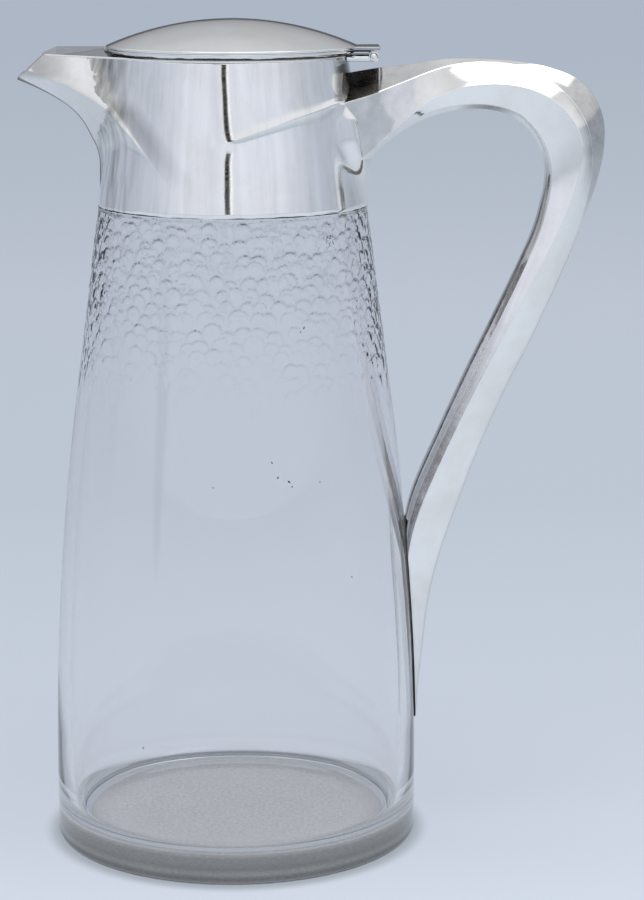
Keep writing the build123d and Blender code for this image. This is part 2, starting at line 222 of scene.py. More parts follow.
def noise(tree, place, scale, detail, roughness=0.5):
    """Noise pattern from 0 to 1; scale counts its waves in a metre."""
    return add_node(tree, "ShaderNodeTexNoise", Vector=place, Scale=scale, Detail=detail,
                    Roughness=roughness).outputs["Fac"]


def stretched_noise(tree, place, scales, detail, roughness=0.5):
    """Noise with its own number of waves in a metre along x, y and z."""
    stretched = add_node(tree, "ShaderNodeMapping", Vector=place, Scale=scales).outputs["Vector"]
    return noise(tree, stretched, 1.0, detail, roughness)


def scaled(tree, colour, factor):
    """Colour multiplied by a number or a socket."""
    settings = {"operation": "SCALE"}
    return add_node(tree, "ShaderNodeVectorMath", settings, i0=colour, Scale=factor).outputs[0]


def new_material(name, **settings):
    """Material with its shader's own sockets set by name, and Object coordinates at hand."""
    material = bpy.data.materials.new(name)
    material.use_nodes = True
    tree = material.node_tree
    shader = tree.nodes["Principled BSDF"]
    for key, value in settings.items():
        shader.inputs[key.replace("_", " ")].default_value = value
    return material, tree, shader, tree.nodes.new("ShaderNodeTexCoord").outputs["Object"]


# %% Silver
def make_silver(name, tone, waves, blur):
    """Polished silver: tone is its colour, waves the height of its unevenness, blur its roughness."""
    material, tree, shader, place = new_material(name, Metallic=1.0)
    yellowed = tuple(part * kept for part, kept in zip(tone, (0.93, 0.915, 0.89)))
    tarnish_and_shade = colour_ramp(tree, noise(tree, place, 45.0, 4.0, 0.6), [(0.34, yellowed), (0.55, tone)])
    tree.links.new(tarnish_and_shade, shader.inputs["Base Color"])
    scratches = stretched_noise(tree, place, (300.0, 300.0, 3400.0), 3.0)
    roughness = spread(tree, scratches, 0.3, 0.75, (blur * 0.7, blur * 1.5))
    tree.links.new(roughness, shader.inputs["Roughness"])
    hammer = noise(tree, place, 75.0, 1.5, 0.4)
    slow = add_node(tree, "ShaderNodeBump", Height=hammer, Strength=1.0, Distance=waves)
    fine = add_node(tree, "ShaderNodeBump", Height=scratches, Strength=1.0, Distance=0.0000012,
                    Normal=slow.outputs["Normal"])
    tree.links.new(fine.outputs["Normal"], shader.inputs["Normal"])
    return material


silver = make_silver("polished_silver", (0.93, 0.925, 0.91), 0.00009, 0.09)
worn_silver = make_silver("worn_silver", (0.90, 0.885, 0.86), 0.00006, 0.14)
tarnished_silver = make_silver("tarnished_silver", (0.44, 0.45, 0.475), 0.00006, 0.12)
bright_silver = make_silver("bright_silver", (0.97, 0.965, 0.95), 0.00003, 0.32)
# near-black silver that paints shade in the handle's crook and in the knuckles' grooves
painted_shade_silver = make_silver("painted_shade_silver", (0.085, 0.075, 0.066), 0.00008, 0.30)
plain_silvers = (silver, worn_silver, tarnished_silver, bright_silver, painted_shade_silver)
print("silver finishes:", [m.name for m in plain_silvers])

# %% [markdown]
# ### Where the silver is worn, and where shade is painted
#
# Collar, spout and handle were handled, repaired and cleaned unevenly. The beak was silvered again
# and ends in a ragged bright edge, and dirt stays along the keel. Painted shade, which also dims
# reflections, lies beside the beak, on the collar's side of the chine, by the hinge and on many of the
# handle's facets. These marks lie at known places, so each is a shade along x, y or z, or a share
# stored with the points, that multiplies the clean colour. A painted map would do it too, but it
# would have to be drawn by hand.

# %% Wear and painted shade of collar and spout
def take_colour(material):
    """Node tree, shader, colour socket and Object coordinates of a finished silver."""
    tree = material.node_tree
    shader = tree.nodes["Principled BSDF"]
    clean = shader.inputs["Base Color"].links[0].from_socket
    return tree, shader, clean, tree.nodes.new("ShaderNodeTexCoord").outputs["Object"]


def age_and_shade_mount(material):
    """Re-silvered beak with a ragged edge and a dark keel, with painted shade beside the beak, by the chine
    and by the hinge.
    """
    tree, shader, clean, place = take_colour(material)
    calc = partial(math_node, tree)
    x, y, z = add_node(tree, "ShaderNodeSeparateXYZ", Vector=place).outputs
    ragged = noise(tree, place, 420.0, 3.0, 0.6)

    def fade_in(share, value):
        """1 where share is 0, value where share is 1."""
        return calc("SUBTRACT", 1.0, calc("MULTIPLY", share, calc("SUBTRACT", 1.0, value)))

    # the beak's ragged edge lies at x = beak_x * (1 + shift), with a shift for each height
    beak_x = -0.034
    shift = along(tree, z, (0.2165, 0.19), (0.219, 0.147), (0.223, 0.074), (0.226, 0.044),
                  (0.230, 0.156), (0.236, 0.176), (0.240, 0.235))
    edge_x = calc("MULTIPLY_ADD", shift, beak_x, beak_x)
    wobble = calc("MULTIPLY_ADD", ragged, 0.005, -0.0025)
    off_beak = spread(tree, calc("SUBTRACT", calc("ADD", x, wobble), edge_x), -0.0002, 0.0003)

    # painted shade beside the beak that dims its reflection, strongest high up, with upright lines in it
    grey = along(tree, x, (-0.0400, 0.56), (-0.0335, 0.60), (-0.0300, 0.84), (-0.0255, 1.0))
    shade = fade_in(along(tree, z, (0.2140, 0.30), (0.2250, 1.15)), grey)
    lines = calc("SUBTRACT", stretched_noise(tree, place, (500.0, 500.0, 22.0), 3.0), 0.5)
    strong = along(tree, x, (-0.0400, 2.4), (-0.0330, 1.6), (-0.0280, 0.5), (-0.0100, 0.3))
    shade = calc("MULTIPLY", shade, calc("MULTIPLY_ADD", lines, strong, 1.0))
    shade = calc("MAXIMUM", calc("MINIMUM", shade, 1.0), 0.25)

    # painted shade on the collar's side of the chine, which drops 1 mm for each 0.77 mm that it runs back
    chine_run, chine_foot = 0.77, -0.1402
    from_chine = calc("ADD", x, calc("MULTIPLY_ADD", z, chine_run, chine_foot))
    beside = along(tree, from_chine, (-0.0006, 1.0), (0.0002, 0.62), (0.0038, 0.60), (0.0090, 1.0))
    level = along(tree, z, (0.2030, 0.0), (0.2190, 0.9), (0.2245, 1.0), (0.2290, 0.0))
    shade = calc("MULTIPLY", shade, fade_in(level, beside))

    # the beak itself, a little darker at its tip
    tip = along(tree, x, (-0.0570, 0.66), (-0.0505, 0.80), (-0.0465, 1.0))
    tip = fade_in(along(tree, z, (0.2325, 0.0), (0.2345, 1.0)), tip)
    beak = calc("MULTIPLY", calc("MULTIPLY_ADD", ragged, 0.16, 0.90), tip)
    side_tone = add_node(tree, "ShaderNodeMix", i0=off_beak, i2=beak, i3=shade).outputs[0]

    # dirt along the keel's solder line, and painted shade above the crease beside the hinge
    keel_dark = along(tree, calc("ABSOLUTE", y), (0.0, 0.22), (0.0006, 0.3), (0.0011, 1.0))
    on_keel = calc("MULTIPLY", calc("LESS_THAN", x, -0.030), calc("LESS_THAN", z, 0.2355))
    mottled = calc("MINIMUM", calc("MULTIPLY_ADD", ragged, 1.5, -0.45), 1.0)
    hinge_side = along(tree, x, (0.0300, 1.0), (0.0318, 0.30), (0.0360, 0.30))
    painted_shade_mark = fade_in(calc("GREATER_THAN", z, 0.2275), calc("MAXIMUM", hinge_side, mottled))
    kept = calc("MULTIPLY", calc("MULTIPLY", side_tone, fade_in(on_keel, keel_dark)), painted_shade_mark)
    tree.links.new(scaled(tree, clean, kept), shader.inputs["Base Color"])


mount_silver = make_silver("mount_silver", (0.95, 0.945, 0.93), 0.00007, 0.07)
age_and_shade_mount(mount_silver)
print("nodes in the mount's silver:", len(mount_silver.node_tree.nodes))

# %% Painted shade that a piece brings along as an attribute
def shade_by_attribute(material):
    """Multiply the colour by the piece's own painted shade, painted_shade_factor, more unevenly where it is
    darker.
    """
    tree, shader, clean, place = take_colour(material)
    calc = partial(math_node, tree)
    share = add_node(tree, "ShaderNodeAttribute", {"attribute_name": "painted_shade_factor"}).outputs["Fac"]
    spots = calc("SUBTRACT", noise(tree, place, 260.0, 5.0, 0.7), 0.5)
    strength = calc("MULTIPLY_ADD", calc("SUBTRACT", 1.0, share), 1.2, 0.16)
    kept = calc("MINIMUM", calc("ADD", share, calc("MULTIPLY", spots, strength)), 1.0)
    tree.links.new(scaled(tree, clean, kept), shader.inputs["Base Color"])


handle_silver = make_silver("handle_silver", (0.95, 0.94, 0.92), 0.00009, 0.10)
shade_by_attribute(handle_silver)
print("nodes in the handle's silver:", len(handle_silver.node_tree.nodes))

# %% [markdown]
# ## Glass, ground glass, plaster and old cement
#
# The vessel is clear glass with faint streaks, with a painted shade at the edges of its scooped
# scales. The thick rim of the foot looks dark, because light comes through it only after a long way;
# the colour of its skin is a painted shade that stands for that way, in rings by height. The underside
# was ground flat, which leaves a grey, frosted and speckled disc. Plaster holds the collar on the
# neck, and a dark old cement shows as a line under the collar and beside the handle's tail. The same
# near-black finish fills gaps of the lid and the hinge as painted shade.

# %% Clear glass and the dark rim of the foot
edge_height = 0.0101
clear_tone = (0.975, 0.97, 0.975, 1)


def make_glass():
    """Clear glass, with a painted shade where the attribute scale_shade marks the edge of a scale."""
    material, tree, shader, place = new_material("clear_glass", Transmission_Weight=1.0, IOR=1.5)
    streaks = noise(tree, place, 35.0, 3.0)
    tint = add_node(tree, "ShaderNodeMixRGB", Fac=streaks, Color1=(0.965, 0.958, 0.968, 1),
                    Color2=(0.99, 0.98, 0.985, 1)).outputs[0]
    painted_rim_shade = add_node(tree, "ShaderNodeAttribute", {"attribute_name": "scale_shade"}).outputs["Fac"]
    shaded = add_node(tree, "ShaderNodeMixRGB", Fac=painted_rim_shade, Color1=tint, Color2=(0.60, 0.60, 0.62, 1))
    tree.links.new(shaded.outputs[0], shader.inputs["Base Color"])
    tree.links.new(spread(tree, streaks, 0.0, 1.0, (0.0, 0.025)), shader.inputs["Roughness"])
    return material


def make_edge_glass():
    """Glass of the foot's rim: painted dark rings of shade up to edge_height, on the far side only near the
    floor.
    """
    material, tree, shader, place = new_material("edge_glass", Transmission_Weight=1.0, IOR=1.5,
                                                 Roughness=0.03)
    y, z = add_node(tree, "ShaderNodeSeparateXYZ", Vector=place).outputs[1:]
    greys = [(0.0, 0.29), (0.10, 0.28), (0.165, 0.17), (0.23, 0.12), (0.285, 0.17), (0.36, 0.28),
             (0.42, 0.23), (0.485, 0.16), (0.55, 0.14), (0.61, 0.17), (0.85, 0.24), (0.92, 0.38),
             (0.975, 0.46), (1.0, 1.0)]
    stops = [(share, (grey * 0.97, grey, grey * 0.99)) for share, grey in greys]
    rings = colour_ramp(tree, spread(tree, z, 0.0, edge_height), stops)
    uneven = stretched_noise(tree, place, (22.0, 22.0, 300.0), 4.0)
    tone = scaled(tree, rings, math_node(tree, "MULTIPLY_ADD", uneven, 0.26, 0.87))
    far_side, above_floor = spread(tree, y, -0.012, 0.020), spread(tree, z, 0.0030, 0.0042)
    clear = math_node(tree, "MULTIPLY", far_side, above_floor)
    final = add_node(tree, "ShaderNodeMixRGB", Fac=clear, Color1=tone, Color2=clear_tone)
    tree.links.new(final.outputs[0], shader.inputs["Base Color"])
    return material


# %% Ground glass, plaster and cement
ground_radius = 48.4


def make_ground_glass():
    """Frosted grey with fine specks and soft clouds, darker and more mottled towards its edge."""
    material, tree, shader, place = new_material("ground_glass", Roughness=0.9, Specular_IOR_Level=0.0)
    specks = noise(tree, place, 900.0, 6.0, 0.75)
    grey = colour_ramp(tree, specks, [(0.3, (0.315, 0.325, 0.338)), (0.6, (0.525, 0.532, 0.545))])
    from_axis = add_node(tree, "ShaderNodeVectorMath", {"operation": "LENGTH"}, i0=place).outputs["Value"]
    rim = spread(tree, from_axis, 0.038, ground_radius * MM)
    contrast = math_node(tree, "MULTIPLY_ADD", rim, 0.45, 0.20)
    mottle = math_node(tree, "MULTIPLY_ADD", noise(tree, place, 55.0, 5.0, 0.65), contrast, 0.92)
    tone = math_node(tree, "MULTIPLY", mottle, math_node(tree, "MULTIPLY_ADD", rim, -0.42, 1.0))
    tree.links.new(scaled(tree, grey, tone), shader.inputs["Base Color"])
    return material


def make_matt(name, dark, light, grain, bump):
    """Matt mineral finish: two tones mixed by a fine grain, with a rough surface."""
    material, tree, shader, place = new_material(name, Roughness=0.9)
    grains = noise(tree, place, grain, 6.0, 0.7)
    tone = add_node(tree, "ShaderNodeMixRGB", Fac=grains, Color1=(*dark, 1), Color2=(*light, 1))
    tree.links.new(tone.outputs["Color"], shader.inputs["Base Color"])
    rough = add_node(tree, "ShaderNodeBump", Height=grains, Strength=0.6, Distance=bump)
    tree.links.new(rough.outputs["Normal"], shader.inputs["Normal"])
    return material


glass, ground_glass, edge_glass = make_glass(), make_ground_glass(), make_edge_glass()
plaster = make_matt("neck_plaster", (0.42, 0.40, 0.37), (0.62, 0.60, 0.56), 700.0, 0.0002)
# near-black cement, which also paints the shade in the gaps of lid and hinge
old_cement = make_matt("old_cement", (0.018, 0.016, 0.014), (0.075, 0.068, 0.06), 900.0, 0.0002)
print("finishes:", [m.name for m in (glass, ground_glass, edge_glass, plaster, old_cement)])

# %% [markdown]
# ## The glass body
#
# A blown vessel is a closed skin: outside wall, foot, neck and inside wall are one turned outline.
# Light bends at each crossing, so the thickness of the floor and the curve in the inner corner are
# modelled, not painted. The band under the collar gets many more points, because the hammered
# pattern is cut there.

# %% The turned outline of the glass
foot_edge, base_thickness, glass_wall, inner_corner, neck_inset = 2.0, 6.6, 3.8, 8.0, 1.5
low_wall_extra, ground_recess = 0.8, 0.05
scale_band_low, fine_band_low, scale_band_high = 112.0, 145.0, 195.2
glass_columns = 600


def glass_outline():
    """Closed outline of the glass as (radius, height), and which points the pattern may move."""
    outline = [(r, ground_recess) for r in (0.0, 14.0, 28.0, 40.0, 45.0, ground_radius)]
    outline += [(ground_radius + 0.2, 0.0), (53.2, 0.0)]
    for step in range(1, 7):
        turn = math.radians(15 * step)
        outline.append((body_radius - foot_edge * (1 - math.sin(turn)), foot_edge * (1 - math.cos(turn))))
    outline += [(radius_at(z), z) for z in (2.3, 3.3, 5.0, 7.7, 9.8, 10.3, 13.0, 20.0, 28.0, 38.0, 50.0,
                                            64.0, 78.0, 92.0, 103.0, 110.0)]
    first = len(outline)
    coarse_band = np.linspace(scale_band_low, fine_band_low, 14, endpoint=False)
    fine_band = np.linspace(fine_band_low, scale_band_high, 114)
    outline += [(radius_at(z), z) for z in np.concatenate([coarse_band, fine_band])]
    last = len(outline)
    outline += [(radius_at(collar_bottom), collar_bottom), (radius_at(collar_bottom) - 0.15, collar_bottom)]
    neck = (collar_bottom, collar_bottom + 0.3, 203.0, neck_top - 0.3, neck_top)
    outline += [(radius_at(z) - neck_inset, z) for z in neck]
    outline += [(radius_at(neck_top) - glass_wall + 0.3, neck_top)]
    inside_wall = (neck_top - 0.3, 200.0, 185.0, 168.0, 150.0, 134.0, 115.0, 95.0, 75.0, 55.0, 42.0)
    outline += [(radius_at(z) - glass_wall, z) for z in inside_wall]
    thicker = (33.0, 25.0, 18.0)
    outline += [(radius_at(z) - glass_wall - low_wall_extra * (42.0 - z) / 30.0, z) for z in thicker]
    inside = radius_at(base_thickness + inner_corner) - glass_wall - low_wall_extra
    for step in range(0, 10):
        turn = math.radians(10 * step)
        outline.append((inside - inner_corner * (1 - math.cos(turn)),
                        base_thickness + inner_corner * (1 - math.sin(turn))))
    outline += [(r, base_thickness) for r in (40.6, 34.0, 22.0, 11.0, 0.0)]
    return outline, first, last


outline, band_first, band_last = glass_outline()
plain_rows = set(range(band_first - 1)) | set(range(band_last + 1, len(outline)))
glass_body_piece = turned_piece("clear_glass_vessel", outline, glass_columns, plain_rows)
for finish in (glass, ground_glass, edge_glass):
    glass_body_piece.data.materials.append(finish)
for face in glass_body_piece.data.polygons:
    height, reach = face.center.z, face.center.xy.length
    if height < 2 * ground_recess * MM and reach < ground_radius * MM:
        face.material_index = 1
    elif 0.00005 < height < edge_height and reach > 0.0535:
        face.material_index = 2
for index, part in ((1, "ground underside"), (2, "dark rim of the foot")):
    print(f"faces of the {part}:", sum(f.material_index == index for f in glass_body_piece.data.polygons))
# diffuse and shadow rays pass by the glass, or it would throw a black shadow
glass_body_piece.visible_diffuse = glass_body_piece.visible_shadow = False

# %% [markdown]
# ### The hammered band
#
# Under the collar the glass is covered with shallow scooped scales, each overlapping the one above
# it. A Geometry Nodes tree is the right tool: it scatters one centre for each scale in jittered
# rows, and each point of the wall asks three row families which centre is nearest. The lowest
# scale that covers the point wins, which gives the round upper edges. Named inputs hold the sizes,
# and the pattern dies out down the wall. The tree also stores how close a point is to a scale's
# edge, and the glass gets a painted shade there, for the light that the edge bends away.

# %% Node tree of the scooped scales
scale_sizes = {"Band Top": 0.1945, "Row Height": 0.0036, "Scale Radius": 0.0027, "Scale Depth": 0.00030,
               "Cone Radius": 0.0405, "Cone Slope": cone_slope, "Jitter": 0.0014, "Size Spread": 0.28,
               "Full Above": 0.168, "Gone Below": 0.134}
scale_counts = {"Scales Round": 58, "Rows": 22, "Seed": 7}


def make_scale_tree():
    """Tree that scoops the scales out of a wall, and stores a painted shade for their edges."""
    tree = bpy.data.node_groups.new("scooped_scales", "GeometryNodeTree")
    calc = partial(math_node, tree)

    def named_input(name, kind, value=None):
        """Input of the tree, with the value that it starts with."""
        socket = tree.interface.new_socket(name=name, in_out="INPUT", socket_type="NodeSocket" + kind)
        if value is not None:
            socket.default_value = value

    named_input("Geometry", "Geometry")
    for name, value in scale_sizes.items():
        named_input(name, "Float", value)
    for name, value in scale_counts.items():
        named_input(name, "Int", value)
    named_input("Finish", "Material")
    tree.interface.new_socket(name="Geometry", in_out="OUTPUT", socket_type="NodeSocketGeometry")
    given = add_node(tree, "NodeGroupInput").outputs
    done = add_node(tree, "NodeGroupOutput")

    def jitter(offset):
        """Random number from -1 to 1 for each centre, a new one for each offset."""
        return add_node(tree, "FunctionNodeRandomValue", {"data_type": "FLOAT"}, i2=-1.0, i3=1.0,
                        Seed=calc("ADD", given["Seed"], float(offset))).outputs[1]

    # one centre for each scale, every second row shifted by half a scale
    index = add_node(tree, "GeometryNodeInputIndex").outputs[0]
    row = calc("FLOOR", calc("DIVIDE", index, given["Scales Round"]))
    column = calc("SUBTRACT", index, calc("MULTIPLY", row, given["Scales Round"]))
    half = calc("MULTIPLY", calc("MODULO", row, 2.0), 0.5)
    height = calc("SUBTRACT", given["Band Top"], calc("MULTIPLY", row, given["Row Height"]))
    height = calc("MULTIPLY_ADD", jitter(1), given["Jitter"], height)
    below_top = calc("SUBTRACT", given["Band Top"], height)
    radius = calc("MULTIPLY_ADD", below_top, given["Cone Slope"], given["Cone Radius"])
    step = calc("DIVIDE", 2 * math.pi, given["Scales Round"])
    turn = calc("MULTIPLY", calc("ADD", column, half), step)
    turn = calc("ADD", turn, calc("DIVIDE", calc("MULTIPLY", jitter(2), given["Jitter"]), radius))
    centre = add_node(tree, "ShaderNodeCombineXYZ", i0=calc("MULTIPLY", radius, calc("COSINE", turn)),
                      i1=calc("MULTIPLY", radius, calc("SINE", turn)), i2=height)
    count = calc("MULTIPLY", given["Scales Round"], given["Rows"])
    points = add_node(tree, "GeometryNodePoints", Count=count, Position=centre.outputs[0])

    # each scale's own strength, which dies out down the wall, and its own radius
    position = add_node(tree, "GeometryNodeInputPosition").outputs[0]
    own_height = add_node(tree, "ShaderNodeSeparateXYZ", i0=position).outputs[2]
    fade = spread(tree, calc("MULTIPLY_ADD", jitter(3), 0.008, own_height), given["Gone Below"],
                  given["Full Above"], smooth=True)
    strength = calc("MULTIPLY", fade, calc("MULTIPLY_ADD", jitter(4), 0.3, 0.85))
    own_radius = calc("MULTIPLY_ADD", jitter(5), given["Size Spread"], 1.0)
    own_radius = calc("MULTIPLY", given["Scale Radius"], own_radius)

    def sampled(geometry, index, value, kind="FLOAT"):
        """Value that the centre with this index has."""
        return add_node(tree, "GeometryNodeSampleIndex", {"data_type": kind, "domain": "POINT"},
                        i0=geometry, Value=value, Index=index).outputs[0]

    # the nearest centre of each row family, and the lowest of those whose scale covers the point
    best_key, best_depth, best_shade = -1.0, 0.0, 0.0
    for family in range(3):
        keep = add_node(tree, "FunctionNodeCompare", {"data_type": "FLOAT", "operation": "EQUAL"},
                        i0=calc("MODULO", row, 3.0), i1=float(family)).outputs[0]
        apart = add_node(tree, "GeometryNodeSeparateGeometry", {"domain": "POINT"},
                         i0=points.outputs[0], i1=keep).outputs[0]
        nearest = add_node(tree, "GeometryNodeSampleNearest", {"domain": "POINT"}, i0=apart).outputs[0]
        where = sampled(apart, nearest, position, "FLOAT_VECTOR")
        power, width = sampled(apart, nearest, strength), sampled(apart, nearest, own_radius)
        gap = add_node(tree, "ShaderNodeVectorMath", {"operation": "DISTANCE"}, i0=position, i1=where)
        share = calc("DIVIDE", gap.outputs["Value"], width)
        bowl = calc("SUBTRACT", 1.0, calc("MULTIPLY", share, share))
        inside = calc("GREATER_THAN", bowl, 0.0)
        bowl = calc("MAXIMUM", bowl, 0.0)
        level = add_node(tree, "ShaderNodeSeparateXYZ", i0=where).outputs[2]
        upper = calc("DIVIDE", calc("SUBTRACT", own_height, level), width)
        key = calc("SUBTRACT", calc("MULTIPLY", inside, calc("SUBTRACT", 1.0, level)), 0.5)
        wins = calc("GREATER_THAN", key, best_key)
        loses = calc("SUBTRACT", 1.0, wins)
        edge = calc("MINIMUM", calc("MULTIPLY", bowl, 5.0), 1.0)
        scoop = calc("MULTIPLY", edge, calc("MULTIPLY_ADD", upper, 0.55, 0.45))
        depth = calc("MULTIPLY", calc("MULTIPLY", scoop, inside), power)
        best_depth = calc("ADD", calc("MULTIPLY", depth, wins), calc("MULTIPLY", best_depth, loses))
        rim = calc("SUBTRACT", 1.0, calc("MINIMUM", calc("MULTIPLY", bowl, 2.2), 1.0))
        rim = calc("MULTIPLY", rim, calc("MULTIPLY_ADD", upper, 0.6, 0.4))
        shade = calc("MULTIPLY", rim, calc("MULTIPLY", inside, power))
        best_shade = calc("ADD", calc("MULTIPLY", shade, wins), calc("MULTIPLY", best_shade, loses))
        best_key = calc("MAXIMUM", key, best_key)

    # move the wall inwards where it is cut, and keep the clear finish off the dark rim of the foot
    mask = add_node(tree, "GeometryNodeInputNamedAttribute", {"data_type": "FLOAT"}, i0="cut_share")
    mask = mask.outputs[0]
    cut = calc("MULTIPLY", calc("MULTIPLY", best_depth, given["Scale Depth"]), mask)
    normal = add_node(tree, "GeometryNodeInputNormal").outputs[0]
    # painted shade at the edges of the scales, kept for the glass's colour
    shaded = add_node(tree, "GeometryNodeStoreNamedAttribute", {"data_type": "FLOAT", "domain": "POINT"},
                      Geometry=given["Geometry"], Name="scale_shade",
                      Value=calc("MULTIPLY", best_shade, mask))
    moved = add_node(tree, "GeometryNodeSetPosition", i0=shaded.outputs[0],
                     Offset=scaled(tree, normal, calc("MULTIPLY", cut, -1.0)))
    real = add_node(tree, "GeometryNodeRealizeInstances", i0=moved.outputs[0])
    above = add_node(tree, "FunctionNodeCompare", {"data_type": "FLOAT", "operation": "GREATER_THAN"},
                     i0=own_height, i1=edge_height)
    finished = add_node(tree, "GeometryNodeSetMaterial", i0=real.outputs[0], Selection=above.outputs[0],
                        Material=given["Finish"])
    tree.links.new(finished.outputs[0], done.inputs[0])
    return tree


scale_tree = make_scale_tree()
print("nodes in the scale tree:", len(scale_tree.nodes))

# %% Cut the scales and keep the result as a plain mesh
def apply_tree(piece, tree, **values):
    """Run a node tree on a piece with its inputs set by identifier, and keep the plain result."""
    modifier = piece.modifiers.new("tree", "NODES")
    modifier.node_group = tree
    ids = {item.name: item.identifier for item in tree.interface.items_tree
           if getattr(item, "in_out", "") == "INPUT"}
    for name, value in values.items():
        modifier[ids[name.replace("_", " ")]] = value
    bpy.context.view_layer.update()
    ready = piece.evaluated_get(bpy.context.evaluated_depsgraph_get())
    mesh = bpy.data.meshes.new_from_object(ready)
    piece.modifiers.clear()
    old = piece.data
    piece.data = mesh
    bpy.data.meshes.remove(old)
    print(f"{piece.name}: {len(mesh.polygons)} faces after the tree {tree.name}")


share = glass_body_piece.data.attributes.new("cut_share", "FLOAT", "POINT")
heights = np.array([v.co.z for v in glass_body_piece.data.vertices]) / MM
radii = np.array([math.hypot(v.co.x, v.co.y) for v in glass_body_piece.data.vertices]) / MM
in_band = (heights > scale_band_low - 1) & (heights < scale_band_high + 0.01)
on_wall = (np.abs(radii - jug_radius(heights)) < 0.05) & in_band
ease = np.clip((scale_band_high - heights) / 0.8, 0, 1)
share.data.foreach_set("value", (on_wall * ease).astype(np.float32))
apply_tree(glass_body_piece, scale_tree, Finish=glass)
glass_body_piece.data.shade_smooth()
carry(glass_body_piece, "jug", glass, "glass_body", slot="glass")

# %% [markdown]
# ### Small chips and one old stain
#
# Long use leaves marks: a few dark chips on the wall and a brown speckled stain under the collar.
# They are tiny flat gems that sit on the glass, placed by turn and height on the same profile.

# %% Chips and stain
def fleck(turn, z, length, width, lean, thick=0.12):
    """Corners of one flat gem on the wall: length and width in mm, lean in degrees from upright."""
    turn, lean = math.radians(turn), math.radians(lean)
    r = radius_at(z) - 0.02
    centre = np.array((r * math.cos(turn), r * math.sin(turn), z))
    out = np.array((math.cos(turn), math.sin(turn), cone_slope))
    across = np.array((-math.sin(turn), math.cos(turn), 0.0))
    up = np.cross(out, across) / np.linalg.norm(out)
    lengthwise = up * math.cos(lean) + across * math.sin(lean)
    sideways = across * math.cos(lean) - up * math.sin(lean)
    return [centre + lengthwise * length / 2, centre + sideways * width / 2,
            centre - lengthwise * length / 2, centre - sideways * width / 2,
            centre + out * thick, centre - out * thick]


chips = [(299.1, 164.0, 1.1, 0.5, 20), (297.6, 162.9, 0.7, 0.35, -30), (315.1, 189.4, 0.7, 0.5, 10),
         (284.5, 126.1, 0.9, 0.45, -20), (286.4, 121.7, 1.0, 0.5, 30), (290.2, 120.3, 1.2, 0.6, -50),
         (291.2, 118.8, 0.7, 0.45, 0), (301.5, 119.4, 0.6, 0.4, 40), (264.7, 119.2, 0.6, 0.35, 10),
         (312.3, 90.0, 0.9, 0.4, -15), (242.2, 40.7, 0.8, 0.45, 30)]
stain_turn, stain_height, stain_specks = 314.6, 188.4, 46
draw = np.random.default_rng(11)
for _ in range(stain_specks):
    shift = draw.normal(0, 1, 2)
    chips.append((stain_turn + shift[0] * 2.1, stain_height + shift[1] * 1.5, draw.uniform(0.25, 0.6),
                  draw.uniform(0.15, 0.35), draw.uniform(-60, 60)))
fleck_points, fleck_faces = [], []
for chip in chips:
    k = len(fleck_points)
    fleck_points += fleck(*chip)
    fleck_faces += [(k + a, k + (a + 1) % 4, k + 4) for a in range(4)]
    fleck_faces += [(k + (a + 1) % 4, k + a, k + 5) for a in range(4)]
flecks = make_piece("chips_and_stain", fleck_points, fleck_faces)
carry(flecks, "jug", old_cement, slot="old_cement")

# %% [markdown]
# ## Collar and spout in one skin
#
# The silversmith raised the collar and the beak of the spout from one sheet, so its reflections run
# on without a seam. The surface is laid out along its own creases: the keel under the beak, the
# chine that fans out over the collar, and the straight top edge. Each is a smooth curve, the facets
# are drawn between them, and wherever a facet would fall inside the collar's cone it is eased out
# onto the cone. The grid follows the creases, which keeps them crisp.

# %% Curves through given points
def catmull_rom(points, before, after, steps):
    """Points of a smooth curve: steps of them from each given point on, and the last one."""
    padded = [before] + points + [after]
    result = []
    for a, b, c, d in zip(padded, padded[1:], padded[2:], padded[3:]):
        for t in np.linspace(0, 1, steps, endpoint=False):
            squared, cubed = 2 * a - 5 * b + 4 * c - d, 3 * b - a - 3 * c + d
            result.append(0.5 * ((2 * b) + (c - a) * t + squared * t**2 + cubed * t**3))
    return result + [points[-1]]


def smooth_curve(points, count):
    """Curve through the given points, as count points at even steps of its length."""
    points = [np.array(p, float) for p in points]
    fine = np.array(catmull_rom(points, 2 * points[0] - points[1], 2 * points[-1] - points[-2], 24))
    length = np.concatenate([[0], np.cumsum(np.linalg.norm(np.diff(fine, axis=0), axis=1))])
    wanted = np.linspace(0, 1, count) * length[-1]
    return np.stack([np.interp(wanted, length, fine[:, k]) for k in range(fine.shape[1])], axis=1)


def straight_line(start, end, count):
    """Evenly spaced points from start to end."""
    start, end = np.array(start), np.array(end)
    return np.array([start + (end - start) * w for w in np.linspace(0, 1, count)])


def tight_steps(count, edge=0.012, ends=(True, True)):
    """Steps from 0 to 1 with two extra ones close to each crisp end."""
    steps = list(np.linspace(0, 1, count))
    if ends[0]:
        steps[1:1] = [edge, edge * 2]
    if ends[1]:
        steps[-1:-1] = [1 - edge * 2, 1 - edge]
    return np.array(steps)


# %% Moving points off the axis
def pushed_out(points, rise):
    """Points moved straight away from the jug's axis."""
    scale = 1 + rise / np.hypot(points[..., 0], points[..., 1])
    return points * np.stack([scale, scale, np.ones_like(scale)], axis=-1)


def onto_cone(points, ease=1.0):
    """Points moved out so that none lies inside the jug's cone, blended softly low on the collar."""
    points = np.array(points, float)
    r = np.hypot(points[..., 0], points[..., 1])
    cone = jug_radius(points[..., 2])
    soft = np.maximum(np.interp(points[..., 2], (215.0, 236.0), (3.0, 0.5)) * ease, 0.001)
    share = np.clip(0.5 + 0.5 * (r - cone) / soft, 0, 1)
    out = cone + (r - cone) * share + soft * share * (1 - share)
    scale = np.where(r > 1e-6, out / np.maximum(r, 1e-6), 1.0)
    points[..., 0] *= scale
    points[..., 1] *= scale
    return points


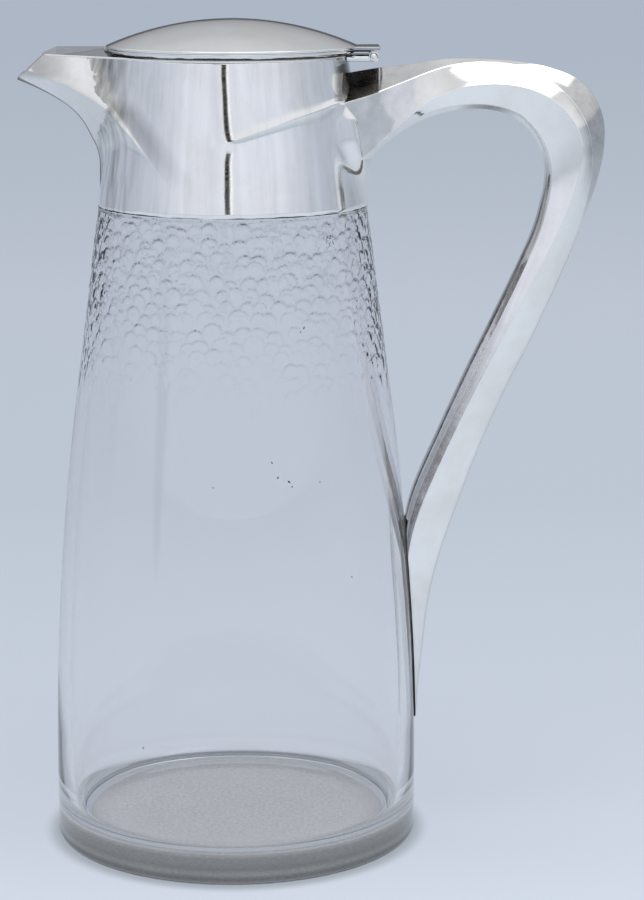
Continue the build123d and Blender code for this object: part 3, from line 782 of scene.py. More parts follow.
# %% Keel, chine and top edge of the spout
tangent_x = -rim_radius**2 / (rim_radius + 22.3)
tangent_y = -math.sqrt(rim_radius**2 - tangent_x**2)
chine_slope = math.tan(math.radians(34.7))


def chine_point(x, z):
    """Point of the chine, which is straight when it is seen from above."""
    return (x, -(66.0 + x) * chine_slope, z)


keel_line = [(-39.78, 0, 199.0), (-39.75, 0, 204.0), (-39.8, 0, 209.0), (-40.6, 0, 212.5), (-42.3, 0, 216.0),
             (-44.3, 0, 219.8), (-46.9, 0, 223.0), (-50.2, 0, 225.7), (-54.5, 0, 228.3), (-59.4, 0, 230.7),
             (-63.9, 0, 232.6)]
chine_line = [(-17.9, -34.6, 205.5), chine_point(-24.6, 213.2), chine_point(-30.0, 219.3),
              chine_point(-34.6, 223.8), chine_point(-38.9, 227.2), chine_point(-48.2, 231.7),
              chine_point(-55.0, 234.0), chine_point(-60.9, 235.7)]
along_count, side_rows, back_columns = 56, 44, 150
keel, chine = smooth_curve(keel_line, along_count), smooth_curve(chine_line, along_count)
top_edge = straight_line((tangent_x, tangent_y, rim_height), (-56.3, -0.35, rim_height), along_count)
for name, line in (("keel", keel), ("chine", chine)):
    print(f"{name}: {np.linalg.norm(np.diff(line, axis=0), axis=1).sum():.1f} mm long")

# %% The raised crease that runs on from the handle
crease_turns = np.radians([255.0, 268.5, 284.0, 300.9, 318.0, 330.8, 345.0, 360.0])
crease_heights = [215.6, 216.9, 220.2, 223.6, 225.9, 227.6, 229.0, 229.6]


def crease_height(turn):
    """Height of the crease at a turn about the jug's axis."""
    return np.interp(turn, crease_turns, crease_heights)


def add_crease(points):
    """Raise a low ridge along the crease, strongest beside the handle and gone left of the middle."""
    points = np.array(points, float)
    turn = np.mod(np.arctan2(points[..., 1], points[..., 0]), 2 * np.pi)
    gap = points[..., 2] - crease_height(turn)
    strength = np.interp(np.degrees(turn), (262.0, 275.0, 300.0, 330.0, 360.0), (0.0, 0.45, 0.6, 0.85, 0.9))
    rise = strength * np.exp(-np.abs(gap) / np.where(gap > 0, 3.2, 2.3))
    return pushed_out(points, rise)


# %% The ridge that carries the chine on, and the flare under the handle
ridge_places = (-61.0, -50.0, -42.0, -33.0, -24.0, -19.0, -15.5)
ridge_heights = (0.0, 0.10, 0.16, 0.22, 0.22, 0.16, 0.0)


def add_chine_ridge(points, path):
    """Raise a fine ridge along the chine, highest where it reaches the collar."""
    points = np.array(points, float)
    flat = points.reshape(-1, 3)
    for start in range(0, len(flat), 2000):
        part = flat[start:start + 2000]
        gaps = np.linalg.norm(part[:, None] - path[None], axis=2)
        nearest = gaps.argmin(axis=1)
        height = np.interp(path[nearest, 0], ridge_places, ridge_heights)
        part[:, 1] -= height * np.exp(-gaps.min(axis=1) / 0.5)
    return flat.reshape(points.shape)


def add_root_flare(points):
    """Draw the collar out round the handle's root, so that the two flow together."""
    points = np.array(points, float)
    x, y, z = points[..., 0], np.abs(points[..., 1]), points[..., 2]
    half = np.interp(z, (195.0, 204.0, 210.0, 216.0, 227.0, 232.0), (3.0, 7.5, 11.5, 14.0, 14.4, 6.0))
    height = np.interp(z, (195.5, 199.0, 202.4, 207.2, 211.0, 222.0, 229.0),
                       (0.35, 0.8, 1.5, 2.9, 3.5, 3.4, 0.0))
    rise = np.where(x > 0, height * np.exp(-(np.maximum(y - half, 0) / 5.4) ** 2), 0.0)
    return pushed_out(points, rise)


# %% The facets of the spout, near half
belly_depth, crease_share, skin_bottom = 0.5, 0.45, 195.72
across = np.unique(np.concatenate([tight_steps(24), [0.94, 0.955, 0.968]]))
upward = np.unique(np.concatenate([tight_steps(side_rows, edge=0.008, ends=(True, False)),
                                   [crease_share - 0.008, crease_share, crease_share + 0.008]]))
path = np.concatenate([onto_cone([(-15.2, -35.9, 202.0), (-16.5, -35.3, 203.7)]),
                       onto_cone(smooth_curve(chine_line, 260))])


def spout_facets():
    """The facet under the chine, the side above it, and the first row of each without its ridge."""
    under = np.array([[keel[w] + (chine[w] - keel[w]) * u for u in across] for w in range(along_count)])
    side = np.array([[chine[w] + (top_edge[w] - chine[w]) * s for s in upward] for w in range(along_count)])
    fuller = np.linspace(0, 1, along_count)[:, None, None]
    belly = np.sin(np.pi * across)[None, :, None] * fuller * belly_depth
    under = under - belly * np.array([0.35, 0.5, -0.6])
    ease = np.clip(np.arange(along_count) / (0.3 * along_count), 0, 1)[:, None] ** 2
    under, side = onto_cone(under, ease), onto_cone(side, ease)
    plain_under, plain_side = under[0].copy(), side[0].copy()
    under, side = add_chine_ridge(under, path), add_chine_ridge(side, path)
    under[:, 0, 1] = 0.0
    return under, side, plain_under, plain_side


under, side, plain_under, plain_side = spout_facets()
print("points on the spout's facets:", under.shape[:2], side.shape[:2])

# %% The collar behind them, near half
def collar_above(side_column, plain_column):
    """Rows from the spout round to the handle, bent so that one of them follows the crease."""
    edge_turns = np.mod(np.arctan2(plain_column[:, 1], plain_column[:, 0]), 2 * np.pi)
    around = np.linspace(0, 1, back_columns)
    low = chine_line[0][2]
    rows = []
    for s, edge_turn in zip(upward, edge_turns):
        turns = edge_turn + (2 * np.pi - edge_turn) * around
        middle = crease_height(turns)
        z = np.where(s < crease_share, low + (middle - low) * s / crease_share,
                     middle + (rim_height - middle) * (s - crease_share) / (1 - crease_share))
        plain = low + (rim_height - low) * s
        near_edge = np.clip((turns - edge_turn) / math.radians(14), 0, 1)
        z = plain + (z - plain) * near_edge * near_edge * (3 - 2 * near_edge)
        r = jug_radius(z)
        rows.append(np.stack([r * np.cos(turns), r * np.sin(turns), z], axis=1))
    rows = np.array(rows)
    rows[:, 0] = plain_column
    bottom = rows[0].copy()
    rows[:, 1:] = add_root_flare(add_crease(add_chine_ridge(rows[:, 1:], path)))
    rows[:, 0] = side_column
    return rows, bottom


def collar_below(plain_top, top):
    """Rows from the collar's slightly ragged lower edge up to the row where spout and crease start."""
    band = []
    for share in np.linspace(0, 1, 9):
        row = plain_top.copy()
        row[:, 2] = skin_bottom + (plain_top[:, 2] - skin_bottom) * share
        turns = np.arctan2(plain_top[:, 1], plain_top[:, 0])
        waves = np.sin(turns * 5 + 1.0) + 0.7 * np.sin(turns * 17 + 2.0) + 0.5 * np.sin(turns * 41)
        row[:, 2] += (1 - share) * 0.10 * waves
        r = jug_radius(row[:, 2])
        r = r + (np.hypot(plain_top[:, 0], plain_top[:, 1]) - jug_radius(plain_top[:, 2])) * share
        row[:, 0], row[:, 1] = r * np.cos(turns), r * np.sin(turns)
        band.append(row)
    band = add_root_flare(add_chine_ridge(band, path))
    band[-1] = top
    return band


above, plain_bottom = collar_above(side[0], plain_side)
plain_top = np.concatenate([plain_under, plain_bottom[1:]])
below = collar_below(plain_top, np.concatenate([under[0], above[0][1:]]))
print("points on the collar:", above.shape[:2], below.shape[:2])

# %% Both halves in one mesh
skin_points, skin_faces = [], []
for part in (below, under, side, above):
    skin_faces += grid_faces(part.shape[0], part.shape[1], start=len(skin_points))
    skin_points += [tuple(p) for row in part for p in row]
near_count = len(skin_points)
skin_points += [(x, -y, z) for x, y, z in skin_points]
skin_faces += [tuple(i + near_count for i in face[::-1]) for face in skin_faces]
collar_wall = 0.9
mount = make_piece("collar_and_spout", skin_points, skin_faces, merge=0.02)
thick = mount.modifiers.new("wall", "SOLIDIFY")
thick.thickness, thick.offset, thick.use_even_offset = collar_wall * MM, -1.0, False
carry(mount, "jug", mount_silver, "collar_band", "spout_near_side", "spout_far_side", slot="silver")

# %% [markdown]
# ## Behind the spout, and inside the collar
#
# The collar's own wall carries on behind the spout with a wide opening for the wine. A flat ring
# covers the edge of the glass neck, and a square wire stiffens the rim. A dark line of old cement
# fills the joint where the collar meets the glass.

# %% Throat wall
throat_half_turn, opening_half, opening_low, opening_high = 44, 13.0, 213.5, 237.0


def throat_wall():
    """Part of the cone behind the spout with an opening, as a closed shell."""
    turns = np.radians(np.linspace(180 - throat_half_turn, 180 + throat_half_turn, 89))
    levels = np.concatenate([np.linspace(206.0, opening_low, 4), np.linspace(214.5, 236.5, 12),
                             np.linspace(opening_high, 239.9, 3)])
    points, faces = [], []
    for inset in (0.06, 0.95):
        for z in levels:
            r = radius_at(z) - inset
            points += [(r * math.cos(t), r * math.sin(t), z) for t in turns]
    per = len(levels) * len(turns)

    def is_open(row, col):
        """Whether the face that starts at this row and column lies in the opening."""
        z = (levels[row] + levels[row + 1]) / 2
        y = rim_radius * math.sin((turns[col] + turns[col + 1]) / 2)
        return opening_low < z < opening_high and abs(y) < opening_half

    def index(r, c, side):
        """Number of a point on the outer side, 0, or the inner side, 1."""
        return side * per + r * len(turns) + c

    solid = {(r, c) for r in range(len(levels) - 1) for c in range(len(turns) - 1) if not is_open(r, c)}
    for r, c in solid:
        for side in (0, 1):
            faces.append((index(r, c, side), index(r, c + 1, side),
                          index(r + 1, c + 1, side), index(r + 1, c, side)))
        borders = {(r - 1, c): ((r, c), (r, c + 1)), (r + 1, c): ((r + 1, c), (r + 1, c + 1)),
                   (r, c - 1): ((r, c), (r + 1, c)), (r, c + 1): ((r, c + 1), (r + 1, c + 1))}
        for neighbour, (p, q) in borders.items():
            if neighbour not in solid:
                faces.append((index(*p, 0), index(*q, 0), index(*q, 1), index(*p, 1)))
    return points, faces


throat = make_piece("throat_wall", *throat_wall())
carry(throat, "jug", worn_silver, slot="silver")

# %% Rings inside the collar, and the cement line
neck_inner, seat_top = radius_at(neck_top) - glass_wall, 212.3
seat_outline = [(neck_inner, neck_top), (radius_at(neck_top) - collar_wall, neck_top),
                (radius_at(seat_top) - collar_wall, seat_top), (neck_inner - 0.1, seat_top)]
seat = turned_piece("neck_seat_ring_piece", eased_outline(seat_outline, 0.15))
carry(seat, "jug", worn_silver, "neck_seat_ring", slot="silver")
wire_width, wire_bottom, wire_top = 1.6, 238.2, 239.98
rim_bore = rim_radius - collar_wall - wire_width
rim_outline = [(rim_bore, wire_bottom), (radius_at(wire_bottom) - collar_wall, wire_bottom),
               (rim_radius - collar_wall, wire_top), (rim_bore, wire_top)]
rim = turned_piece("rim_wire", eased_outline(rim_outline, 0.25))
carry(rim, "jug", silver, "rim_ring", slot="silver")
line_radius, line_top = radius_at(195.6), 195.95
line_outline = [(line_radius - 1.3, collar_bottom), (line_radius - 0.12, collar_bottom),
                (line_radius - 0.16, line_top), (line_radius - 1.3, line_top)]
joint_line = turned_piece("joint_cement", eased_outline(line_outline, 0.05))
carry(joint_line, "jug", old_cement, slot="old_cement")

# %% [markdown]
# ## The handle
#
# The handle is a hollow tapering form. Its section has nine corners: a crest like a small roof over
# two outer sides, which meet two inner sides in a ridge, and a bevel on each side of a narrow inner
# face. It is described by stations along its length. Each gives the crest and the inner face as
# reach from the jug's line and drop below the rim, then how wide the upper chine and the side ridge
# stand out. Smooth curves run through the stations, each corner gets a small radius, and each facet
# a slight crown, as on metal that was filed and polished by hand.

# %% Stations of the handle
# crest reach and drop, inner reach and drop, chine share and width, ridge share and width, inner width
handle_stations = [
    (-10.4, 7.0, -8.8, 41.0, 0.22, 21.0, 0.84, 18.0, 9.0),
    (3.1, 4.7, 0.9, 32.5, 0.25, 14.8, 0.88, 14.5, 6.0),
    (9.6, 3.7, 5.7, 27.6, 0.26, 11.3, 0.90, 11.6, 5.0),
    (16.7, 2.9, 12.9, 22.7, 0.23, 8.2, 0.84, 9.6, 4.4),
    (23.8, 1.8, 19.9, 19.1, 0.18, 5.4, 0.71, 8.6, 4.2),
    (31.3, 1.1, 27.1, 16.8, 0.11, 3.3, 0.60, 7.8, 4.2),
    (40.4, 1.0, 34.3, 15.9, 0.07, 2.4, 0.52, 7.5, 4.2),
    (49.8, 1.9, 40.9, 16.3, 0.10, 2.4, 0.46, 7.5, 4.2),
    (59.8, 3.8, 47.3, 18.6, 0.22, 3.0, 0.45, 7.5, 4.2),
    (68.9, 8.2, 51.7, 23.2, 0.29, 4.2, 0.45, 7.5, 4.2),
    (73.5, 17.0, 53.7, 27.4, 0.28, 5.0, 0.42, 7.5, 4.2),
    (73.3, 26.4, 54.5, 31.8, 0.24, 4.8, 0.40, 7.5, 4.2),
    (70.3, 36.5, 54.3, 36.5, 0.17, 3.8, 0.41, 7.5, 4.2),
    (66.1, 45.8, 52.4, 43.2, 0.10, 2.7, 0.44, 7.5, 4.2),
    (59.0, 60.1, 47.4, 55.0, 0.08, 2.0, 0.53, 7.5, 4.2),
    (46.3, 82.6, 34.4, 77.2, 0.08, 2.0, 0.63, 7.5, 4.2),
    (35.7, 99.8, 24.3, 93.8, 0.08, 2.0, 0.67, 7.5, 4.2),
    (25.4, 118.1, 13.2, 113.0, 0.08, 2.0, 0.71, 7.5, 4.2),
    (15.9, 138.3, 2.5, 133.5, 0.08, 1.9, 0.75, 7.3, 4.4),
    (9.8, 153.0, -1.3, 150.0, 0.09, 1.8, 0.85, 6.8, 4.8),
    (5.7, 166.9, -1.6, 165.0, 0.10, 1.5, 0.85, 5.8, 4.2),
    (3.2, 182.0, -1.5, 181.0, 0.12, 1.2, 0.85, 4.4, 3.2),
    (1.4, 195.0, -1.2, 194.5, 0.15, 0.8, 0.80, 2.8, 2.0),
    (0.6, 204.5, -0.9, 204.4, 0.20, 0.4, 0.80, 1.2, 0.8),
]
stations = [np.array(station, float) for station in handle_stations]
handle_rows = catmull_rom(stations, stations[0], stations[-1], 12)
print("sections along the handle:", len(handle_rows))

# %% One section of the handle
def handle_section(row, corner=0.22, crown=0.16):
    """Ring of points of one section, near side then far side, with eased corners and crowned facets."""
    crest_reach, crest_drop, inner_reach, inner_drop = row[:4]
    chine_share, chine_width, ridge_share, ridge_width, inner_width = row[4:]
    crest_z, inner_z = rim_height - crest_drop, rim_height - inner_drop
    crest = np.array([radius_at(crest_z) + crest_reach, crest_z])
    inner = np.array([radius_at(inner_z) + inner_reach, inner_z])
    depth = np.linalg.norm(inner - crest)
    bevel = min(1.7, 0.4 * (1 - ridge_share) * depth)
    bevel_width = inner_width + (ridge_width - inner_width) * 0.5
    near = [(0, 0), (chine_share * depth, chine_width), (ridge_share * depth, ridge_width),
            (depth - bevel, bevel_width), (depth, inner_width * 0.72)]
    ring = [np.array(c, float) for c in near] + [np.array([u, -v]) for u, v in near[:0:-1]]
    outline = []
    for i, here in enumerate(ring):
        following = ring[(i + 1) % len(ring)]
        before, side = ring[i - 1] - here, following - here
        before_length, side_length = np.linalg.norm(before), np.linalg.norm(side)
        e = min(corner, 0.2 * before_length, 0.2 * side_length)
        a, b = before / before_length, side / side_length
        outline += [here + a * e * 2, here + a * e, here + (a + b) * e * 0.3, here + b * e, here + b * e * 2]
        outward = np.array([side[1], -side[0]]) / side_length
        if np.dot(outward, (here + following) / 2 - np.array([depth * 0.5, 0])) < 0:
            outward = -outward
        for t in (0.2, 0.35, 0.5, 0.65, 0.8):
            bulge = outward * crown * min(side_length / 8, 1) * math.sin(math.pi * t)
            outline.append(here + side * t + bulge)
    placed = [(crest + (inner - crest) * (u / depth), -v) for u, v in outline]
    return [(point[0], width, point[1]) for point, width in placed]


# %% The handle's skin, fitted to collar and glass
def seat_on_jug(points):
    """Push out what would lie inside the collar or the cement bed, so that nothing shows inside."""
    points = np.array(points, float)
    r = np.hypot(points[:, 0], points[:, 1])
    z = points[:, 2]
    least = jug_radius(z) + np.where(z > collar_bottom, -0.45, 0.45)
    least = np.where(z > rim_height - 0.1, rim_radius - 0.45, least)
    scale = np.where(r < least, least / r, 1.0)
    points[:, 0] *= scale
    points[:, 1] *= scale
    return points


sections = [handle_section(row) for row in handle_rows]
per_section = len(sections[0])
handle_points = seat_on_jug([p for section in sections for p in section])
handle_faces = grid_faces(len(sections), per_section, closed=True)
first_cap = tuple(range(per_section))
last_cap = tuple(range(len(handle_points) - per_section, len(handle_points)))[::-1]
handle = make_piece("faceted_handle", handle_points, handle_faces + [first_cap, last_cap])

# %% [markdown]
# ### Painted shade on the handle
#
# The handle's facets get painted shade, which also dims their reflections: low on the leg the inner
# sides, bevels and inner face, the roof near the collar, the outer sides in the bend, and the inner
# faces under the arch. A section has ten points for each of its nine corners, so a facet is a run of
# point numbers, and each run gets a share of the full colour by height or by distance from the axis.
# The shares go into an attribute, because a shade along x or z could not follow the facets round the
# bend. The ridges between the runs stay bright.

# %% Painted shade of each facet
roof = (slice(0, 11), slice(82, 90))
outer_near, outer_far = slice(12, 21), slice(72, 81)
inner_sides = (slice(22, 31), slice(61, 70))
bevels = (slice(31, 38), slice(54, 61))
inner_face = slice(39, 53)
under_arch = (slice(34, 44), slice(48, 58))


def by_place(value, places, shares):
    """Share that runs through the given ones as value runs through the places."""
    return float(np.interp(value, places, shares))


def handle_painted_shading(row):
    """Painted shade of each point of a section, as a share of the full colour from 0 for black to 1 for
    bright.
    """
    painted_shading = np.ones(per_section)
    z = rim_height - row[1]
    x = row[0] + radius_at(z)
    # painted shade that dims the facets' reflections, by height low on the leg and by reach near the collar
    lower_leg = by_place(z, (95.0, 117.0, 141.0, 165.0), (0.40, 0.46, 0.80, 1.0))
    roof_share = by_place(x, (43.0, 56.0, 64.0, 200.0), (0.74, 0.80, 1.0, 1.0))
    side_share = by_place(x, (36.0, 54.0, 62.0, 200.0), (0.84, 0.86, 1.0, 1.0))
    roof_bend = side_bend = 1.0
    if x > 95.0:
        roof_bend = by_place(z, (190.0, 198.0, 214.0, 221.0, 230.0, 238.0),
                             (1.0, 0.72, 0.68, 0.60, 0.66, 1.0))
        side_bend = by_place(z, (196.0, 206.0, 228.0, 236.0), (1.0, 0.60, 0.62, 1.0))
    for part in inner_sides:
        painted_shading[part] = lower_leg
    for part in bevels:
        painted_shading[part] = 0.45 + 0.55 * lower_leg
    painted_shading[inner_face] = by_place(z, (100.0, 190.0, 225.0), (0.28, 0.36, 1.0))
    for part in roof:
        painted_shading[part] = roof_share * roof_bend
    # painted shade on the inner faces under the arch
    if z > 205.0:
        tarnish_and_shade = by_place(x, (69.0, 78.0, 84.0, 95.0), (1.0, 0.50, 0.44, 1.0))
        for part in under_arch:
            painted_shading[part] = np.minimum(painted_shading[part], tarnish_and_shade)
    painted_shading[outer_near] = side_share * np.linspace(side_bend, 1.0, 9)
    painted_shading[outer_far] = side_share * np.linspace(1.0, side_bend, 9)
    return painted_shading


painted_shading = np.concatenate([handle_painted_shading(row) for row in handle_rows])
# merging doubles renumbered the points, so each one asks which of the first ones lies nearest
made_from = kdtree.KDTree(len(handle_points))
for index, point in enumerate(handle_points):
    made_from.insert(point * MM, index)
made_from.balance()
nearest_painted_shading = [painted_shading[made_from.find(v.co)[1]] for v in handle.data.vertices]
painted_shade_factor = handle.data.attributes.new("painted_shade_factor", "FLOAT", "POINT")
painted_shade_factor.data.foreach_set("value", np.array(nearest_painted_shading, np.float32))
print(f"clean share of the handle: {min(nearest_painted_shading):.2f} to {max(nearest_painted_shading):.2f}")

# %% Finishes of the handle
handle.data.materials.append(handle_silver)
handle.data.materials.append(painted_shade_silver)
# painted shade and painted reflection: roof faces in the crook under the hinge get the near-black silver
crook_reach, crook_level = 43.6 * MM, 0.222
shaded_crook_faces = [f for f in handle.data.polygons
               if f.center.x < crook_reach and f.normal.z > 0.35 and f.center.z > crook_level]
for face in shaded_crook_faces:
    face.material_index = 1
print("tarnished faces in the crook under the hinge:", len(shaded_crook_faces))
carry(handle, "jug", handle_silver, "handle_near_half", "handle_far_half", slot="silver")

# %% [markdown]
# ## Lid
#
# The lid is a shallow dome spun from sheet, with a sharp lip over a small stepped bezel, and a
# flange inside that centres it in the rim. All three are turned outlines, and so is a dark line of
# painted shade in the step of the bezel, which is a little ragged.

# %% Dome
lid_radius, dome_bottom, lip_height, dome_rise, lid_wall = rim_radius + 2.9, 242.0, 242.7, 7.9, 0.9
sphere = (lid_radius**2 + dome_rise**2) / (2 * dome_rise)
centre = lip_height + dome_rise - sphere
lid_columns = 240


def sphere_points(radius, start, end, count):
    """Points (reach, height) on the dome's sphere, or on one inside it, from start to end reach."""
    return [(x, centre + math.sqrt(radius**2 - x**2)) for x in np.linspace(start, end, count)]


dome_outer = sphere_points(sphere, 0.0, lid_radius - 0.9, 30)
dome_outer += sphere_points(sphere, lid_radius - 0.6, lid_radius - 0.12, 3)
dome_edge = [(lid_radius - 0.02, lip_height - 0.04), (lid_radius, lip_height - 0.14),
             (lid_radius, dome_bottom + 0.25), (lid_radius - 0.08, dome_bottom + 0.08),
             (lid_radius - 0.35, dome_bottom + 0.02)]
inner_end = math.sqrt((sphere - lid_wall) ** 2 - (dome_bottom - centre) ** 2)
dome_inner = sphere_points(sphere - lid_wall, inner_end, 0.0, 16)
dome = turned_piece("lid_dome_piece", dome_outer + dome_edge + dome_inner, lid_columns)
carry(dome, "lid", silver, "lid_dome", slot="silver")

# %% Bezel, painted shade in its step, and flange
bezel_bottom, bezel_top, flange_bottom = 240.3, 241.98, 237.3
flange_radius = rim_bore - 0.35
flange_bore = flange_radius - lid_wall
bezel_outline = [(flange_bore, bezel_bottom), (lid_radius - 2.2, bezel_bottom), (lid_radius - 0.75, 240.95),
                 (lid_radius - 0.45, 241.3), (lid_radius - 0.45, bezel_top), (flange_bore, bezel_top)]
bezel = turned_piece("lid_bezel_piece", eased_outline(bezel_outline, 0.16), lid_columns)
carry(bezel, "lid", silver, "lid_bezel", slot="silver")
# painted shade: a ragged near-black ring in the step of the bezel, under the lip
shade_line_outline = [(lid_radius - 2.3, 240.27), (lid_radius - 1.7, 240.44), (lid_radius - 0.98, 240.82),
                 (lid_radius - 0.95, 240.9), (lid_radius - 1.2, 240.86), (lid_radius - 2.3, 240.36)]
painted_shade_mark = turned_piece("lid_seat_shade_line", shade_line_outline, lid_columns)
for point in painted_shade_mark.data.vertices:
    turn = math.atan2(point.co.y, point.co.x)
    if point.co.z > 240.7 * MM:
        ragged = 0.10 * math.sin(turn * 9 + 1) + 0.07 * math.sin(turn * 23) + 0.05 * math.sin(turn * 47 + 2)
        point.co.z += ragged * MM
carry(painted_shade_mark, "lid", old_cement, slot="old_cement")
flange_outline = [(flange_bore, flange_bottom), (flange_radius, flange_bottom),
                  (flange_radius, bezel_bottom), (flange_bore, bezel_bottom)]
flange = turned_piece("lid_flange_piece", eased_outline(flange_outline, 0.2))
carry(flange, "lid", worn_silver, "lid_flange", slot="silver")

# %% [markdown]
# ## Hinge
#
# The hinge is small, but its dark gap and round ends are what the eye looks for. The flat arm and
# the leaf get filed, rounded edges, and a thin near-black block paints the shade in the gap under
# the leaf. The outer knuckles are rolled sheet, so their ends show a spiral groove round the riveted
# head of the pin, darkened with painted shade.

# %% Blocks with filed edges
pin_x, pin_z, hinge_half = 42.002, 239.8, 8.0
leaf_bottom, leaf_top, arm_bottom, arm_top = 241.58, 242.58, 238.4, 239.93


def filed_block(name, x, y, z, edge):
    """Block between (low, high) pairs in millimetres, with rounded edges."""
    work = bmesh.new()
    bmesh.ops.create_cube(work, size=1.0)
    for point in work.verts:
        for axis, (low, high) in enumerate((x, y, z)):
            point.co[axis] = (low + high) / 2 + point.co[axis] * (high - low)
    bmesh.ops.bevel(work, geom=work.edges[:], offset=edge, segments=3, profile=0.5, affect="EDGES")
    points = [tuple(p.co) for p in work.verts]
    work.verts.index_update()
    faces = [tuple(p.index for p in face.verts) for face in work.faces]
    work.free()
    return make_piece(name, points, faces)


# %% Knuckles and the head of the pin
knuckle_radius, knuckle_end_y, groove_depth = 1.5, 7.98, 0.32
knuckle_rows = [(3.3, 0.72), (3.3, 1.38), (3.42, knuckle_radius), (7.84, knuckle_radius), (7.95, 1.42)]
groove_rows = (1.36, 1.28, 1.2, 1.12, 1.04, 0.96, 0.88, 0.8, 0.74)
pin_head_rows = ((7.75, 0.72), (7.9, 0.68), (8.08, 0.6), (8.16, 0.4), (8.19, 0.2), (8.2, 0.001))
knuckle_columns = 72


def groove_radius(turn):
    """Radius of the spiral groove at a turn about the pin."""
    return 0.98 + 0.26 * turn / (2 * math.pi)


def end_face(r, t):
    """How far out the knuckle's end face lies at a radius and a turn, with the groove cut in."""
    return knuckle_end_y - groove_depth * math.exp(-((r - groove_radius(t)) / 0.07) ** 2)


def knuckle_end(name, near):
    """One rolled outer knuckle with a spiral groove in its end face; near is -1 or 1."""
    turns = np.linspace(0, 2 * np.pi, knuckle_columns, endpoint=False)

    def at(y, r, t):
        """Point at a distance y from the middle, and at a radius and a turn about the pin."""
        return (pin_x + r * math.cos(t), near * y, pin_z + r * math.sin(t))

    rows = [[at(y, r, t) for t in turns] for y, r in knuckle_rows]
    rows += [[at(end_face(r, t), r, t) for t in turns] for r in groove_rows]
    rows += [[at(y, r, t) for t in turns] for y, r in pin_head_rows]
    faces = grid_faces(len(rows), knuckle_columns, closed=True)
    faces.append(tuple(range(knuckle_columns)))
    return make_piece(name, [p for row in rows for p in row], faces)


for side, word in ((-1, "near"), (1, "far")):
    knuckle = knuckle_end("rolled_knuckle_" + word, side)
    knuckle.data.materials.append(silver)
    knuckle.data.materials.append(painted_shade_silver)
    # painted shade in the spiral groove: its faces get the near-black silver
    for face in knuckle.data.polygons:
        dx, dz = face.center.x / MM - pin_x, face.center.z / MM - pin_z
        from_groove = abs(math.hypot(dx, dz) - groove_radius(math.atan2(dz, dx) % (2 * math.pi)))
        if abs(face.center.y) > 7.6 * MM and from_groove < 0.10:
            face.material_index = 1
    carry(knuckle, "jug", silver, "bracket_knuckles", "hinge_pin", slot="silver")
    foot = filed_block("knuckle_foot_" + word, (pin_x - 1.75, pin_x + 1.25),
                       sorted((side * 3.35, side * 7.9)), (arm_bottom, 239.5), 0.3)
    carry(foot, "jug", silver, slot="silver")

# %% Arm and leaf
def across_hinge(less):
    """Low and high y of a block that ends so much inside the hinge's ends."""
    return (-hinge_half + less, hinge_half - less)


arm = filed_block("hinge_arm", (33.9, pin_x - 1.4), across_hinge(0.05), (arm_bottom, arm_top), 0.25)
carry(arm, "jug", silver, "hinge_bracket", slot="silver")
lid_leaf = filed_block("lid_leaf_piece", (lid_radius - 1.6, pin_x + 1.9), across_hinge(0.0),
                       (leaf_bottom, leaf_top), 0.3)
carry(lid_leaf, "lid", tarnished_silver, "lid_leaf", slot="silver")
# painted shade: a thin near-black block fills the gap under the leaf
leaf_gap_shade = filed_block("leaf_gap_shade", (lid_radius - 1.0, pin_x - 0.9), across_hinge(0.12),
                         (leaf_bottom - 0.42, leaf_bottom + 0.1), 0.1)
carry(leaf_gap_shade, "lid", old_cement, slot="old_cement")

# %% [markdown]
# A fine wire runs along the joint between the spout's sides and its cover, and on round the rim.
# It is a curve in shape: a round section carried along a line, with its ends closed.

# %% Edge wire on spout and rim
def round_wire(name, line, radius, columns=12):
    """Closed tube along an open line of points in millimetres."""
    line = np.array(line, float)
    ahead = np.gradient(line, axis=0)
    ahead /= np.linalg.norm(ahead, axis=1)[:, None]
    side = np.cross(ahead, (0, 0, 1.0))
    side /= np.linalg.norm(side, axis=1)[:, None]
    up = np.cross(side, ahead)
    turns = np.linspace(0, 2 * np.pi, columns, endpoint=False)
    points = [tuple(p + radius * (math.cos(t) * a + math.sin(t) * b))
              for p, a, b in zip(line, side, up) for t in turns]
    faces = grid_faces(len(line), columns, closed=True)
    faces += [tuple(range(columns)), tuple(range(len(points) - columns, len(points)))]
    return make_piece(name, points, faces)


wire_level, wire_radius = 239.86, 0.33
along_spout = list(straight_line((-56.0, -0.5), (tangent_x, tangent_y), 30))
rim_turns = np.linspace(math.atan2(tangent_y, tangent_x), math.radians(-14), 90)[1:]
along_rim = [(rim_radius * math.cos(t), rim_radius * math.sin(t)) for t in rim_turns]
near_line = np.array([(x, y, wire_level) for x, y in along_spout + along_rim])
for word, flip in (("near", 1), ("far", -1)):
    wire = round_wire("edge_wire_" + word, near_line * (1, flip, 1), wire_radius)
    carry(wire, "jug", bright_silver, slot="silver")

# %% The rest of the model keeps its own shape and gets a finish
for name, finish in (("neck_cement", plaster), ("tail_cement", old_cement),
                     ("spout_cover", tarnished_silver), ("lid_knuckle", silver)):
    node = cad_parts[name]
    node.data.materials.clear()
    node.data.materials.append(finish)
    print(f"{name}: {finish.name}")

# %% [markdown]
# ## Studio
#
# Silver and glass show the room more than themselves, so the room is modelled as well: a pale
# sweep with painted light and shade and a painted contact shadow, a light tent that is brightest
# behind the camera and dark low behind the jug, and a soft lamp above. The lamp is two laid over
# each other, so that its reflection has a soft border. The narrow dark gap in the tent, with a paler
# card on each side, draws a black line down the collar.

# %% Floor
def flat_piece(name, corners):
    """Four-cornered face in metres, linked to the scene."""
    mesh = bpy.data.meshes.new(name)
    mesh.from_pydata(corners, [], [(0, 1, 2, 3)])
    piece = bpy.data.objects.new(name, mesh)
    bpy.context.scene.collection.objects.link(piece)
    return piece


